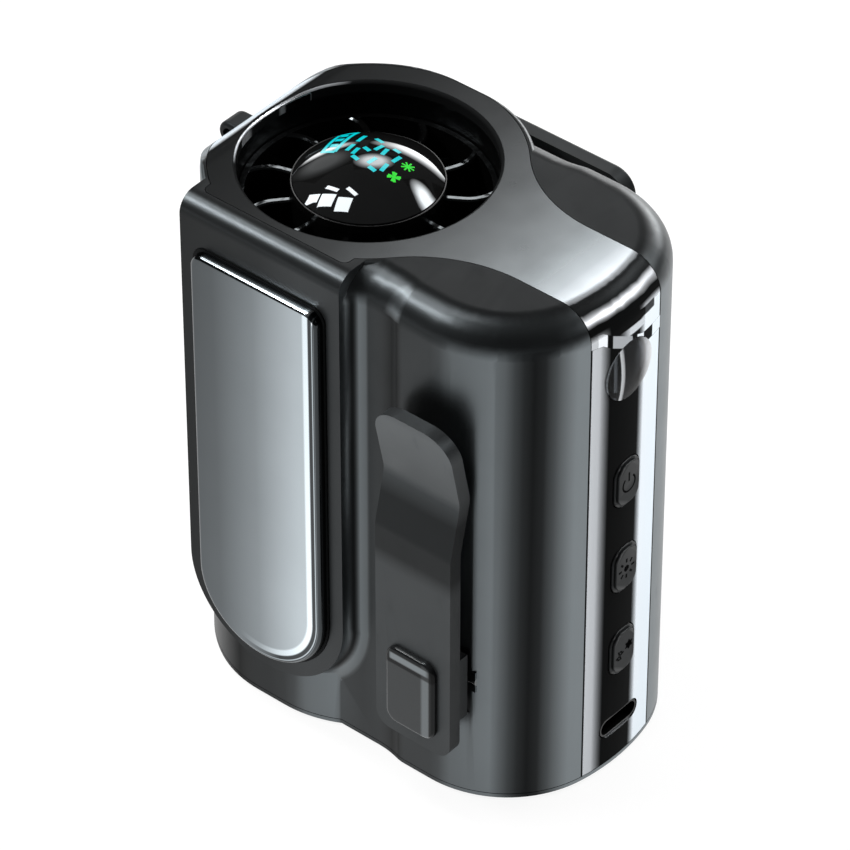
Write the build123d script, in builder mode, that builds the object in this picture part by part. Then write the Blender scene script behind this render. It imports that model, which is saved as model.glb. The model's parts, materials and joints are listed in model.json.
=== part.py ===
from build123d import *
from math import asin, cos, radians, sin, sqrt
import os

os.makedirs("parts", exist_ok=True)

# A clip-on cooler: a fan lobe with a cooling plate, joined to a battery lobe with a torch,
# three buttons and a charging port. Millimetres. The origin is the fan axis at the base,
# +X points to the buttons, -Y to the cooling plate, +Z up.

# Housing
height = 92.5
wall = 1.8
deck_depth = 3.6
seam_gap = 0.12
fit_gap = 0.2
base_thickness = 1.2
base_lip = 1.4
base_bevel = 0.5

# Fan lobe, a round that is a little flattened front and back
fan_lobe_radius = 25.4
fan_lobe_half_depth = 24.6
fan_lobe_blend = 20.0
fan_lobe_top_round = 0.9
end_x = -24.9
end_roll = 7.5

# Battery lobe
lobe_half_depth = 22.9
lobe_inner_x = 20.0
lobe_inner_round = 6.0
lobe_corner_round = 18.87
strip_bow_radius = 37.3
strip_x = 50.6
lobe_top_round = 5.5
neck_half_depth = 22.1
neck_blend = 15.0

# Glossy centre band: round panel over the fan, strip over the battery lobe and down its end
panel_radius = 24.3
panel_front = 21.75
panel_front_half = 14.1
panel_corner = 1.2
panel_blend = 23.9
band_thickness = 2.0
panel_depth = 4.4
strip_half = 8.15
strip_thickness = 2.4

# Raised pod under the cooling plate
pod_half = 15.7
pod_face = 25.2
pod_bottom = 7.7
pod_top_round = 3.2
pod_wall = 1.8

# Cooling plate
plate_half = 12.6
plate_drop = 8.0
plate_face = 26.9
plate_recess = 0.5
plate_margin = 0.5
plate_corner = 2.4
plate_round = 0.8

# Thermoelectric module and heat sink behind the plate
module_width = 20.0
module_height = 30.0
module_thickness = 3.0
pad_thickness = 0.5
sink_width = 24.0
sink_height = 36.0
sink_base = 2.0
sink_fin_length = 15.0
sink_fin_thickness = 0.8
sink_fin_count = 9
sink_headroom = 1.0

# Fan opening, duct and guard
opening_radius = 20.0
opening_round = 0.6
duct_wall = 1.2
duct_length = 29.5
duct_flange = 1.4
guard_drop = 4.9
guard_height = 11.6
guard_floor = 1.2
guard_hub_radius = 11.9
guard_hub_wall = 1.2
guard_ring = 0.9
guard_vane_count = 11
guard_vane_drop = 1.0
guard_vane_height = 7.0
guard_vane_thickness = 1.1
guard_vane_straight = 2.6
guard_vane_hook = 9.5
guard_vane_bevel = 0.25

# Display dome over the hub
dome_radius = 11.55
dome_rise = 3.4
dome_wall = 1.2
dome_ring_width = 0.3
dome_ring_height = 1.3
ledge_width = 1.0
ledge_height = 0.6
display_width = 12.6
display_depth = 8.6
display_thickness = 1.3
board_thickness = 1.0

# Motor and impeller
motor_radius = 8.5
motor_length = 8.0
motor_wall = 1.1
stator_thickness = 1.9
rotor_radius = 4.7
shaft_radius = 1.0
running_gap = 0.05
bearing_radius = 2.5
impeller_gap = 1.0
impeller_height = 9.5
impeller_hub_radius = 9.4
impeller_hub_wall = 1.2
impeller_tip_gap = 0.7
blade_count = 9
blade_thickness = 0.9
blade_root_lean = 38.0
blade_tip_lean = 58.0

# Batteries
cell_radius = 9.1
cell_gap = 0.7
cell_x = 31.3
cell_bottom = 8.0
cell_drop = 19.5
tab_thickness = 0.3
tab_width = 6.0
holder_plate = 2.0
holder_post_radius = 1.6
holder_post_offset = 7.4

# Main board
board_x = 42.0
board_half = 14.0
board_bottom = 5.0
board_drop = 6.5
post_radius = 1.6
post_y = 6.2
post_low = 15.0
post_drop = 24.5

# Buttons on the strip, from the top down
button_heights = (56.6, 39.6, 22.9)
button_names = ("power_button", "light_button", "cooling_button")
button_width = 6.0
button_height = 8.7
button_corner = 2.5
button_proud = 0.5
button_travel = 0.4
button_flange = 0.8
button_flange_thickness = 0.6
button_rim = 0.5
button_rim_proud = 0.15
button_round = 0.15
switch_size = 6.0
switch_body = 3.0
switch_plunger = 1.6

# Torch and charging port
torch_drop = 14.2
torch_radius = 5.25
torch_lens_rim = 1.3
torch_lens_crown = 0.6
torch_led_size = 3.5
torch_led_thickness = 1.2
torch_throat = 2.4
port_z = 8.3
port_width = 8.94
port_height = 3.26
port_wall = 0.3
port_tongue = 0.7
port_margin = 0.25

# Air intake slots round the hidden side of the fan lobe
slot_width = 1.7
slot_height = 40.0
slot_bottom = 14.0
slot_first_angle = 108.75
slot_step_angle = 7.5
slot_count = 13

# Front clip arm
arm_x = 32.0
arm_width = 14.7
arm_thickness = 2.4
arm_gap = 2.5
arm_bottom = 12.3
arm_knee = 52.4
arm_bend = 62.0
arm_top = 75.5
arm_dip = 2.2
arm_flare = 2.9
arm_corner = 4.8
arm_foot_corner = 2.8
block_half = 6.5
block_bottom = 17.9
block_top = 30.2
block_reach = 0.3
block_margin = 0.45
pocket_depth = 1.35
arm_pin_depth = 2.0
arm_pin_radius = 0.8
knuckle_radius = 1.55
knuckle_half = 5.0
ear_width = 2.0
spring_wire = 0.4
spring_slot = 3.4
spring_turns = 4
thumb_width = 9.6
thumb_height = 15.2
thumb_z = 22.6
thumb_corner = 2.2
thumb_proud = 0.9
thumb_seat = 0.5
thumb_round = 0.6

# Belt clip on the back
belt_x = 12.6
belt_width = 32.6
belt_face = 26.3
belt_thickness = 2.9
belt_bottom = 22.0
belt_drop = 5.5
belt_corner = 4.0
belt_edge_round = 0.8
belt_hinge_x = 16.5
belt_hinge_drop = 7.0
belt_pin_out = 2.2
belt_pin_radius = 1.0
belt_knuckle_radius = 1.9
belt_knuckle_half = 4.0
belt_lug_width = 2.2
belt_lip_height = 4.0
belt_lip_reach = 2.6
belt_lip_width = 12.0
belt_lip_x = 20.5

# Lanyard loop at the end of the fan lobe
loop_half = 2.2
loop_radius = 2.1
loop_reach = 3.6
loop_drop = 6.7
loop_hole_radius = 1.1
loop_round = 0.6
loop_flange = 1.2
loop_flange_thickness = 1.3

# Case screws, put in from the back
screw_fan_x = 17.5
screw_low = 12.0
screw_middle = 50.0
screw_drop = 10.5
screw_lobe_x = (27.0, 38.0)
screw_radius = 1.0
screw_head_radius = 1.9
screw_head = 1.3
screw_grip = 6.0
screw_clearance = 0.1
screw_seat = 7.0
boss_radius = 3.2

# Sizes that follow from the ones above
half_seam = seam_gap / 2
bow_x = strip_x - strip_bow_radius
base_top = base_thickness + seam_gap
pod_centre_z = pod_bottom + pod_half
plate_centre_z = pod_centre_z
deck_z = height - deck_depth
plate_top = height - plate_drop
guard_top = height - guard_drop
guard_vane_top = guard_top - guard_vane_drop
dome_base = height - dome_rise
board_top = height - board_drop
post_heights = (post_low, height - post_drop)
torch_z = height - torch_drop
belt_top = height - belt_drop
belt_hinge_z = belt_top - belt_hinge_drop
loop_z = height - loop_drop
loop_x = end_x - loop_reach + loop_radius
loop_bottom = loop_z - loop_radius
screw_fan_places = [(screw_fan_x, screw_low), (screw_fan_x, screw_middle)]
screw_lobe_places = [(x, height - screw_drop) for x in screw_lobe_x]
screw_places = screw_fan_places + screw_lobe_places
panel_under = height - band_thickness
duct_bottom = panel_under - duct_length
strip_back = strip_x - strip_thickness
plate_back = pod_face - plate_recess
module_back = plate_back - module_thickness
module_centre_z = duct_bottom - sink_headroom - sink_height / 2
sink_face = module_back - pad_thickness
guard_bottom = guard_top - guard_height
guard_outer_radius = opening_radius - fit_gap
motor_bottom = guard_bottom + guard_floor
motor_top = motor_bottom + motor_length
impeller_top = guard_bottom - impeller_gap
impeller_bottom = impeller_top - impeller_height
dome_sphere = (dome_radius**2 + dome_rise**2) / (2 * dome_rise)
cell_y = cell_radius + cell_gap / 2
cell_top = height - cell_drop
cell_length = cell_top - cell_bottom
board_face = board_x + board_thickness
arm_back = lobe_half_depth + arm_gap
arm_front = arm_back + arm_thickness
arm_pin_y = -(lobe_half_depth - arm_pin_depth)
arm_pin_z = (block_bottom + block_top) / 2
belt_pin_y = neck_half_depth + belt_pin_out


# Plan of the fan lobe, drawn in by inset
def fan_plan(inset):
    with BuildSketch() as plan:
        Circle(fan_lobe_radius)
        Rectangle(4 * fan_lobe_radius, 2 * fan_lobe_half_depth, mode=Mode.INTERSECT)
        fillet(plan.vertices(), fan_lobe_blend)
        if inset > 0:
            offset(amount=-inset)
    return plan.sketch


# Plan of the battery lobe with the neck that joins it to the fan lobe, drawn in by inset
def battery_plan(inset):
    with BuildSketch() as plan:
        with Locations((bow_x, 0)):
            Circle(strip_bow_radius)
        lobe_length = strip_x - lobe_inner_x + neck_blend
        with Locations((lobe_inner_x + lobe_length / 2, 0)):
            Rectangle(lobe_length, 2 * lobe_half_depth, mode=Mode.INTERSECT)
        outer_corners = plan.vertices().filter_by(lambda v: v.X > lobe_inner_x + lobe_inner_round)
        fillet(outer_corners, lobe_corner_round)
        inner_corners = plan.vertices().sort_by(Axis.X)[:2]
        fillet(inner_corners, lobe_inner_round)
        neck_length = lobe_inner_x + lobe_inner_round
        with Locations((neck_length / 2, 0)):
            Rectangle(neck_length, 2 * neck_half_depth)
        waist = plan.vertices().filter_by(
            lambda v: lobe_inner_x < v.X < neck_length - 0.5 and abs(abs(v.Y) - neck_half_depth) < 0.01
        )
        fillet(waist, neck_blend)
        if inset > 0:
            offset(amount=-inset)
    return plan.sketch


# Both lobes in plan, drawn in by inset, with the flat at the fan end
def both_plans(inset):
    with BuildSketch() as plans:
        add(battery_plan(inset))
        add(fan_plan(inset))
        with Locations((end_x + inset - wall, 0)):
            Rectangle(2 * wall, 4 * fan_lobe_radius, mode=Mode.SUBTRACT)
    return plans.sketch


# Plan of the glossy band seen from above, grown by margin
def panel_plan(margin):
    strip_length = strip_x + wall
    with BuildSketch() as plan:
        Circle(panel_radius)
        with Locations((strip_length / 2, 0)):
            Rectangle(strip_length, 2 * strip_half)
        corners = plan.vertices().filter_by(lambda v: 0 < v.X < strip_x - wall)
        fillet(corners, panel_blend)
        with Locations((0, -panel_front / 2)):
            Rectangle(2 * panel_front_half, panel_front)
        with Locations((0, -panel_front - panel_radius / 2)):
            Rectangle(3 * panel_radius, panel_radius, mode=Mode.SUBTRACT)
        front_corners = plan.vertices().filter_by(
            lambda v: abs(v.Y + panel_front) < 0.01 and abs(abs(v.X) - panel_front_half) < 0.01
        )
        fillet(front_corners, panel_corner)
        if margin > 0:
            offset(amount=margin)
    return plan.sketch


# Long section of the housing: its two ends and its top, drawn in at the sides and at the top
def end_section(side_inset, top_inset, strip_inset):
    left = end_x + side_inset
    right = strip_x - strip_inset
    top = height - top_inset
    left_round = end_roll - min(side_inset, top_inset)
    right_round = lobe_top_round - min(strip_inset, top_inset)
    with BuildSketch(Plane.XZ) as section:
        with Locations(((left + right) / 2, top / 2)):
            Rectangle(right - left, top)
        fillet(section.vertices().group_by(Axis.Y)[-1].sort_by(Axis.X)[0], left_round)
        if top_inset > 0:
            fillet(section.vertices().group_by(Axis.Y)[-1].sort_by(Axis.X)[-1], right_round)
    return section.sketch


# U-shaped outline of the pod and the plate, on the front view
def u_outline(half_width, centre_z, top, corner=0.0):
    straight = top - centre_z
    with BuildSketch() as outline:
        with Locations((0, centre_z)):
            Circle(half_width)
        with Locations((0, centre_z + straight / 2)):
            Rectangle(2 * half_width, straight)
        if corner > 0:
            fillet(outline.vertices().group_by(Axis.Y)[-1], corner)
    return outline.sketch


# Housing form: both lobes, the pod, and the flare at the pod's foot
def outer_form():
    with BuildPart() as lobe:
        with BuildSketch(Plane.XY.offset(base_top)):
            add(battery_plan(0))
        extrude(amount=height - base_top)
        top_edges = lobe.faces().sort_by(Axis.Z)[-1].edges()
        fillet(top_edges.filter_by(lambda e: e.center().X > 0.5), lobe_top_round)
    with BuildPart() as fan:
        with BuildSketch(Plane.XY.offset(base_top)):
            add(fan_plan(0))
        extrude(amount=height - base_top)
        fillet(fan.faces().sort_by(Axis.Z)[-1].edges(), fan_lobe_top_round)
        with BuildSketch(Plane.YZ.offset(-2 * fan_lobe_radius)) as roll:
            with Locations((fan_lobe_radius - pod_face / 2, height / 2)):
                Rectangle(2 * fan_lobe_radius + pod_face, height)
            fillet(roll.vertices().group_by(Axis.Y)[-1].sort_by(Axis.X)[0], pod_top_round)
        extrude(amount=4 * fan_lobe_radius, mode=Mode.INTERSECT)
    flare = pod_face - neck_half_depth
    with BuildPart() as pod:
        with BuildSketch(Plane.XZ.offset(pod_half)):
            add(u_outline(pod_half, pod_centre_z, height))
        extrude(amount=pod_face - pod_half)
        top_front = pod.edges().filter_by(Axis.X).group_by(Axis.Z)[-1].sort_by(Axis.Y)[0]
        fillet(top_front, pod_top_round)
    with BuildPart() as foot:
        with BuildSketch(Plane.XY.offset(pod_centre_z)):
            with BuildLine():
                Line((0, 0), (pod_half + flare, 0))
                Line((pod_half + flare, 0), (pod_half + flare, -neck_half_depth))
                CenterArc((pod_half + flare, -pod_face), flare, 90, 90)
                Line((pod_half, -pod_face), (pod_half, -2 * pod_face))
                Line((pod_half, -2 * pod_face), (0, -2 * pod_face))
                Line((0, -2 * pod_face), (0, 0))
            make_face()
        extrude(amount=height - pod_centre_z)
        rolled = foot.faces().sort_by(Axis.Z)[-1].edges().filter_by(
            lambda e: pod_half - 0.01 < e.center().X < pod_half + flare - 0.01
        )
        fillet(rolled, lobe_top_round)
        with BuildSketch(Plane.XY.offset(pod_centre_z)):
            with Locations((pod_half - wall / 4 + flare, -pod_face / 2)):
                Rectangle(2 * flare, pod_face)
        extrude(amount=height, mode=Mode.INTERSECT)
        with BuildSketch(Plane.XY.offset(pod_centre_z)) as flare_section:
            with BuildLine():
                Line((pod_half, -pod_face), (pod_half, -pod_half))
                Line((pod_half, -pod_half), (pod_half + flare, -pod_half))
                Line((pod_half + flare, -pod_half), (pod_half + flare, -neck_half_depth))
                CenterArc((pod_half + flare, -pod_face), flare, 90, 90)
            make_face()
        turn_axis = Axis((0, 0, pod_centre_z), (0, 1, 0))
        revolve(flare_section.sketch, axis=turn_axis, revolution_arc=90)
    with BuildPart() as form:
        add(lobe.part)
        add(fan.part)
        add(pod.part)
        add(foot.part)
        with BuildSketch(Plane.XZ.offset(-2 * fan_lobe_radius)):
            add(end_section(0, 0, -wall))
        extrude(amount=4 * fan_lobe_radius, mode=Mode.INTERSECT)
    return form.part


# Hollow inside the two shells, open at the base
def cavity_form():
    with BuildPart() as cavity:
        with BuildSketch():
            add(battery_plan(wall))
            add(fan_plan(wall))
        extrude(amount=deck_z)
        with BuildSketch(Plane.XZ.offset(pod_half - pod_wall)):
            add(u_outline(pod_half - pod_wall, pod_centre_z, deck_z))
        extrude(amount=pod_face - pod_half)
        with BuildSketch(Plane.XZ.offset(-2 * fan_lobe_radius)):
            add(end_section(wall, deck_depth, wall))
        extrude(amount=4 * fan_lobe_radius, mode=Mode.INTERSECT)
    return cavity.part


# Space that the glossy band takes out of the housing form, grown by margin
def band_zone(margin):
    with BuildPart() as zone:
        with BuildSketch(Plane.XY.offset(height - panel_depth)):
            add(panel_plan(margin))
        extrude(amount=panel_depth + wall)
        with BuildSketch():
            with Locations((strip_x, 0)):
                Rectangle(2 * (strip_thickness + wall), 2 * (strip_half + margin))
        extrude(amount=height)
        with BuildSketch(Plane.XZ.offset(-2 * fan_lobe_radius)):
            add(end_section(band_thickness, band_thickness, strip_thickness))
        extrude(amount=4 * fan_lobe_radius, mode=Mode.SUBTRACT)
    return zone.part


def save(piece, name):
    piece.label = name
    export_step(piece, f"parts/{name}.step")


housing = outer_form()
cavity = cavity_form()
shell_band_cut = band_zone(seam_gap)

# Everything taken out of both shells
with BuildPart() as hollow:
    add(housing)
    add(cavity, mode=Mode.SUBTRACT)
    add(shell_band_cut, mode=Mode.SUBTRACT)
    with BuildSketch():
        with Locations((strip_x, 0)):
            Rectangle(2 * (strip_thickness + wall / 2), 2 * (strip_half + seam_gap))
    extrude(amount=deck_z, mode=Mode.SUBTRACT)
    with BuildSketch(Plane.XY.offset(deck_z - wall)):
        Circle(opening_radius + duct_wall + fit_gap)
    extrude(amount=deck_depth + wall, mode=Mode.SUBTRACT)
    with BuildSketch(Plane.XY.offset(slot_bottom)):
        slot_sweep_angle = slot_step_angle * (slot_count - 1)
        with PolarLocations(fan_lobe_radius, slot_count, slot_first_angle, slot_sweep_angle, endpoint=True):
            Rectangle(4 * wall, slot_width)
    extrude(amount=slot_height, mode=Mode.SUBTRACT)
    with BuildSketch(Plane.XY.offset(loop_bottom - half_seam)):
        with Locations((end_x, 0)):
            Rectangle(2 * (loop_flange + wall), 2 * loop_half + seam_gap)
        with Locations((end_x + wall, 0)):
            Rectangle(loop_flange_thickness + seam_gap, 2 * (loop_half + loop_flange) + seam_gap)
    extrude(amount=2 * loop_radius + seam_gap, mode=Mode.SUBTRACT)

# Screw bosses from wall to wall, and the thick wall behind the front clip
with BuildPart() as bosses:
    with BuildSketch(Plane.XZ.offset(-lobe_half_depth)):
        with Locations(*screw_places):
            Circle(boss_radius)
    extrude(amount=2 * lobe_half_depth)
    with BuildSketch(Plane.XZ.offset(lobe_half_depth - 2 * wall)):
        with Locations((arm_x, arm_pin_z)):
            seat_width = 2 * (block_half + block_margin) + wall
            Rectangle(seat_width, block_top - block_bottom + 2 * block_margin + wall)
    extrude(amount=2 * wall)
    add(housing, mode=Mode.INTERSECT)

# Front shell: cooling pod, seat of the front clip and the pilot bosses
with BuildPart() as front_shell:
    add(hollow.part)
    add(bosses.part)
    with BuildSketch(Plane.XZ.offset(-fan_lobe_radius)):
        with Locations((0, height / 2)):
            Rectangle(4 * strip_x, 2 * height)
    extrude(amount=fan_lobe_radius + half_seam, mode=Mode.SUBTRACT)
    with BuildSketch(Plane.XZ.offset(half_seam)):
        with Locations(*screw_places):
            Circle(screw_radius)
    extrude(amount=screw_grip, mode=Mode.SUBTRACT)
    with BuildSketch(Plane.XZ.offset(plate_back)):
        recess_half = plate_half + plate_margin
        add(u_outline(recess_half, plate_centre_z, plate_top + plate_margin, plate_corner))
    extrude(amount=2 * plate_recess, mode=Mode.SUBTRACT)
    with BuildSketch(Plane.XZ.offset(plate_back - 2 * pod_wall)):
        with Locations((0, module_centre_z)):
            Rectangle(module_width + 2 * fit_gap, module_height + 2 * fit_gap)
    extrude(amount=2 * pod_wall, mode=Mode.SUBTRACT)
    with BuildSketch(Plane.XZ.offset(lobe_half_depth - pocket_depth)):
        with Locations((arm_x, arm_pin_z)):
            Rectangle(2 * (block_half + block_margin), block_top - block_bottom + 2 * block_margin)
    extrude(amount=2 * pocket_depth, mode=Mode.SUBTRACT)
    with BuildSketch(Plane.XZ.offset(lobe_half_depth - 2 * wall)):
        with Locations((arm_x, arm_pin_z)):
            Rectangle(2 * (knuckle_half + fit_gap), 2 * (knuckle_radius + block_margin))
    extrude(amount=2 * wall, mode=Mode.SUBTRACT)
    with BuildSketch(Plane.XZ.offset(-arm_pin_y - knuckle_radius)):
        ear_shift = knuckle_half + fit_gap + ear_width / 2
        with Locations((arm_x - ear_shift, arm_pin_z), (arm_x + ear_shift, arm_pin_z)):
            Rectangle(ear_width, 2 * (knuckle_radius + block_margin))
    extrude(amount=lobe_half_depth + arm_pin_y + knuckle_radius - pocket_depth)
    with BuildSketch(Plane.YZ.offset(arm_x - knuckle_half - fit_gap - ear_width)):
        with Locations((arm_pin_y, arm_pin_z)):
            Circle(arm_pin_radius)
    extrude(amount=2 * (knuckle_half + fit_gap + ear_width), mode=Mode.SUBTRACT)
save(front_shell.part, "front_shell")

# Back shell: deep screw wells and the lugs of the belt clip
with BuildPart() as back_shell:
    add(hollow.part)
    add(bosses.part)
    with BuildSketch(Plane.XZ.offset(-half_seam)):
        with Locations((0, height / 2)):
            Rectangle(4 * strip_x, 2 * height)
    extrude(amount=2 * fan_lobe_radius, mode=Mode.SUBTRACT)
    with BuildSketch(Plane.XZ.offset(-screw_seat)):
        with Locations(*screw_places):
            Circle(screw_head_radius + fit_gap)
    extrude(amount=-fan_lobe_radius, mode=Mode.SUBTRACT)
    with BuildSketch(Plane.XZ):
        with Locations(*screw_places):
            Circle(screw_radius + screw_clearance)
    extrude(amount=-fan_lobe_radius, mode=Mode.SUBTRACT)
    for side in (-1, 1):
        lug_x = belt_hinge_x + side * (belt_knuckle_half + fit_gap + belt_lug_width / 2)
        with BuildSketch(Plane.YZ.offset(lug_x - belt_lug_width / 2)):
            lug_radius = belt_face - belt_pin_y - fit_gap
            lug_root = neck_half_depth - wall / 2
            with Locations((belt_pin_y, belt_hinge_z)):
                Circle(lug_radius)
            with Locations(((lug_root + belt_pin_y) / 2, belt_hinge_z)):
                Rectangle(belt_pin_y - lug_root, 2 * lug_radius)
            with Locations((belt_pin_y, belt_hinge_z)):
                Circle(belt_pin_radius, mode=Mode.SUBTRACT)
        extrude(amount=belt_lug_width)
save(back_shell.part, "back_shell")

# Base cover: outer plate with a lip inside the shells and posts under the battery holder
holder_bottom = cell_bottom - tab_thickness - holder_plate
with BuildPart() as base_cover:
    with BuildSketch():
        add(battery_plan(0))
        add(fan_plan(0))
    extrude(amount=base_thickness)
    chamfer(base_cover.faces().sort_by(Axis.Z)[0].edges(), base_bevel)
    with BuildSketch(Plane.XZ.offset(-2 * fan_lobe_radius)) as flat_end:
        with Locations((end_x + strip_x, height / 2)):
            Rectangle(2 * strip_x, height)
        chamfer(flat_end.vertices().sort_by(Axis.X)[:2].sort_by(Axis.Y)[0], base_bevel)
    extrude(amount=4 * fan_lobe_radius, mode=Mode.INTERSECT)
    with BuildSketch(Plane.XY.offset(base_thickness)):
        add(both_plans(wall + fit_gap))
        add(both_plans(2 * wall + fit_gap), mode=Mode.SUBTRACT)
        with Locations((strip_x, 0)):
            Rectangle(4 * strip_thickness, 2 * (strip_half + wall), mode=Mode.SUBTRACT)
    extrude(amount=base_lip)
    with BuildSketch(Plane.XY.offset(base_thickness)):
        with Locations((cell_x, 0)):
            with GridLocations(cell_radius, 2 * cell_y, 2, 2):
                Circle(holder_post_radius)
    extrude(amount=holder_bottom - base_thickness)
save(base_cover.part, "base_cover")

# Centre band: glossy panel, roll and strip in one piece, with posts to the main board
with BuildPart() as centre_band:
    add(housing)
    add(band_zone(0), mode=Mode.INTERSECT)
    with BuildSketch(Plane.XY.offset(height - end_roll)):
        Circle(opening_radius)
    extrude(amount=2 * end_roll, mode=Mode.SUBTRACT)
    rim = centre_band.edges().filter_by(GeomType.CIRCLE).filter_by(
        lambda e: abs(e.radius - opening_radius) < 0.01 and e.center().Z > height - 0.01
    )
    fillet(rim, opening_round)
    with BuildSketch(Plane.YZ.offset(board_face)):
        for post_height in post_heights:
            with Locations((-post_y, post_height), (post_y, post_height)):
                Circle(post_radius)
    extrude(amount=strip_back - board_face)
    with BuildSketch(Plane.YZ.offset(strip_back)):
        with Locations((0, torch_z)):
            Circle(torch_radius)
        for button_z in button_heights:
            with Locations((0, button_z)):
                hole_width = button_width + 2 * fit_gap
                hole_height = button_height + 2 * fit_gap
                RectangleRounded(hole_width, hole_height, button_corner + fit_gap)
        with Locations((0, port_z)):
            SlotOverall(port_width + 2 * port_margin, port_height + 2 * port_margin)
    extrude(amount=2 * strip_thickness, mode=Mode.SUBTRACT)
save(centre_band.part, "centre_band")

# Fan duct under the panel, with a flange that fills the fan lobe
with BuildPart() as fan_duct:
    with BuildSketch(Plane.XY.offset(duct_bottom)):
        Circle(opening_radius + duct_wall)
    extrude(amount=panel_under - duct_bottom)
    with BuildSketch(Plane.XY.offset(duct_bottom)):
        add(fan_plan(wall + fit_gap))
        with Locations((-fan_lobe_radius + end_x + wall + fit_gap, 0)):
            Rectangle(2 * fan_lobe_radius, 4 * fan_lobe_radius, mode=Mode.SUBTRACT)
        with Locations((2 * fan_lobe_radius + opening_radius + duct_wall, 0)):
            Rectangle(4 * fan_lobe_radius, 4 * fan_lobe_radius, mode=Mode.SUBTRACT)
    extrude(amount=duct_flange)
    with BuildSketch(Plane.XY.offset(duct_bottom)):
        Circle(opening_radius)
    extrude(amount=panel_under - duct_bottom, mode=Mode.SUBTRACT)
    inlet = fan_duct.edges().filter_by(GeomType.CIRCLE).filter_by(
        lambda e: abs(e.radius - opening_radius) < 0.01 and e.center().Z < duct_bottom + 0.01
    )
    fillet(inlet, duct_wall / 2)
    with BuildSketch(Plane.XZ.offset(-2 * fan_lobe_radius)):
        add(end_section(band_thickness, band_thickness, strip_thickness))
    extrude(amount=4 * fan_lobe_radius, mode=Mode.INTERSECT)
save(fan_duct.part, "fan_duct")


# Guard: hub cup for the motor and display, curved vanes and the outer ring
vane_bottom = guard_vane_top - guard_vane_height
vane_reach = guard_outer_radius - guard_ring / 2
with BuildPart() as vane:
    with BuildSketch(Plane.XY.offset(vane_bottom)):
        with BuildLine():
            bend = (guard_hub_radius + guard_vane_straight, 0)
            hook = radians(guard_vane_hook)
            tip = (guard_outer_radius * cos(hook), guard_outer_radius * sin(hook))
            Line((guard_hub_radius - guard_hub_wall / 2, 0), bend)
            TangentArc(bend, tip, tangent=(1, 0))
        trace(line_width=guard_vane_thickness)
    extrude(amount=guard_vane_height)
    long_edges = vane.faces().sort_by(Axis.Z)[-1].edges().sort_by(SortBy.LENGTH)[2:]
    chamfer(long_edges, guard_vane_bevel)
    with BuildSketch(Plane.XY.offset(vane_bottom)):
        Circle(vane_reach)
    extrude(amount=guard_vane_height, mode=Mode.INTERSECT)
with BuildPart() as vane_guard:
    with BuildSketch(Plane.XY.offset(guard_bottom)):
        Circle(guard_hub_radius)
    extrude(amount=guard_height)
    with BuildSketch(Plane.XY.offset(vane_bottom)):
        Circle(guard_outer_radius)
        Circle(guard_outer_radius - guard_ring, mode=Mode.SUBTRACT)
    extrude(amount=guard_vane_height)
    with PolarLocations(0, guard_vane_count):
        add(vane.part)
    hub_inside = guard_hub_radius - guard_hub_wall
    with BuildSketch(Plane.XY.offset(motor_bottom)):
        Circle(hub_inside)
    extrude(amount=guard_height, mode=Mode.SUBTRACT)
    with BuildSketch(Plane.XY.offset(motor_top)):
        Circle(hub_inside)
        Circle(hub_inside - ledge_width, mode=Mode.SUBTRACT)
    extrude(amount=ledge_height)
    with BuildSketch(Plane.XY.offset(guard_bottom)):
        Circle(shaft_radius + 2 * fit_gap)
    extrude(amount=guard_floor, mode=Mode.SUBTRACT)
save(vane_guard.part, "vane_guard")

# Display dome and the thin ring round its foot
dome_centre = height - dome_sphere
dome_inner = dome_sphere - dome_wall
skirt_inside = dome_radius - dome_wall
skirt_top = dome_centre + sqrt(dome_inner**2 - skirt_inside**2)
with BuildPart() as display_dome:
    with BuildSketch(Plane.XZ):
        with BuildLine():
            half_turn = asin(dome_radius / dome_sphere) / 2
            crown = (dome_sphere * sin(half_turn), dome_centre + dome_sphere * cos(half_turn))
            ThreePointArc((0, height), crown, (dome_radius, dome_base))
            Line((dome_radius, dome_base), (dome_radius, guard_top))
            Line((dome_radius, guard_top), (skirt_inside, guard_top))
            Line((skirt_inside, guard_top), (skirt_inside, skirt_top))
            inner_turn = asin(skirt_inside / dome_inner) / 2
            inner_crown = (dome_inner * sin(inner_turn), dome_centre + dome_inner * cos(inner_turn))
            ThreePointArc((skirt_inside, skirt_top), inner_crown, (0, height - dome_wall))
            Line((0, height - dome_wall), (0, height))
        make_face()
    revolve(axis=Axis.Z)
save(display_dome.part, "display_dome")

with BuildPart() as dome_ring:
    with BuildSketch(Plane.XY.offset(guard_top)):
        Circle(dome_radius + running_gap + dome_ring_width)
        Circle(dome_radius + running_gap, mode=Mode.SUBTRACT)
    extrude(amount=dome_ring_height)
    chamfer(dome_ring.faces().sort_by(Axis.Z)[-1].edges(), dome_ring_width / 4)
save(dome_ring.part, "dome_ring")

# Display board on the ledge, and the digit module on it
display_board_bottom = motor_top + ledge_height
with BuildPart() as display_board:
    with BuildSketch(Plane.XY.offset(display_board_bottom)):
        Circle(hub_inside - fit_gap)
    extrude(amount=board_thickness)
save(display_board.part, "display_board")

with BuildPart() as display_module:
    with BuildSketch(Plane.XY.offset(display_board_bottom + board_thickness)):
        RectangleRounded(display_width, display_depth, display_thickness)
    extrude(amount=display_thickness)
save(display_module.part, "display_module")

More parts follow.
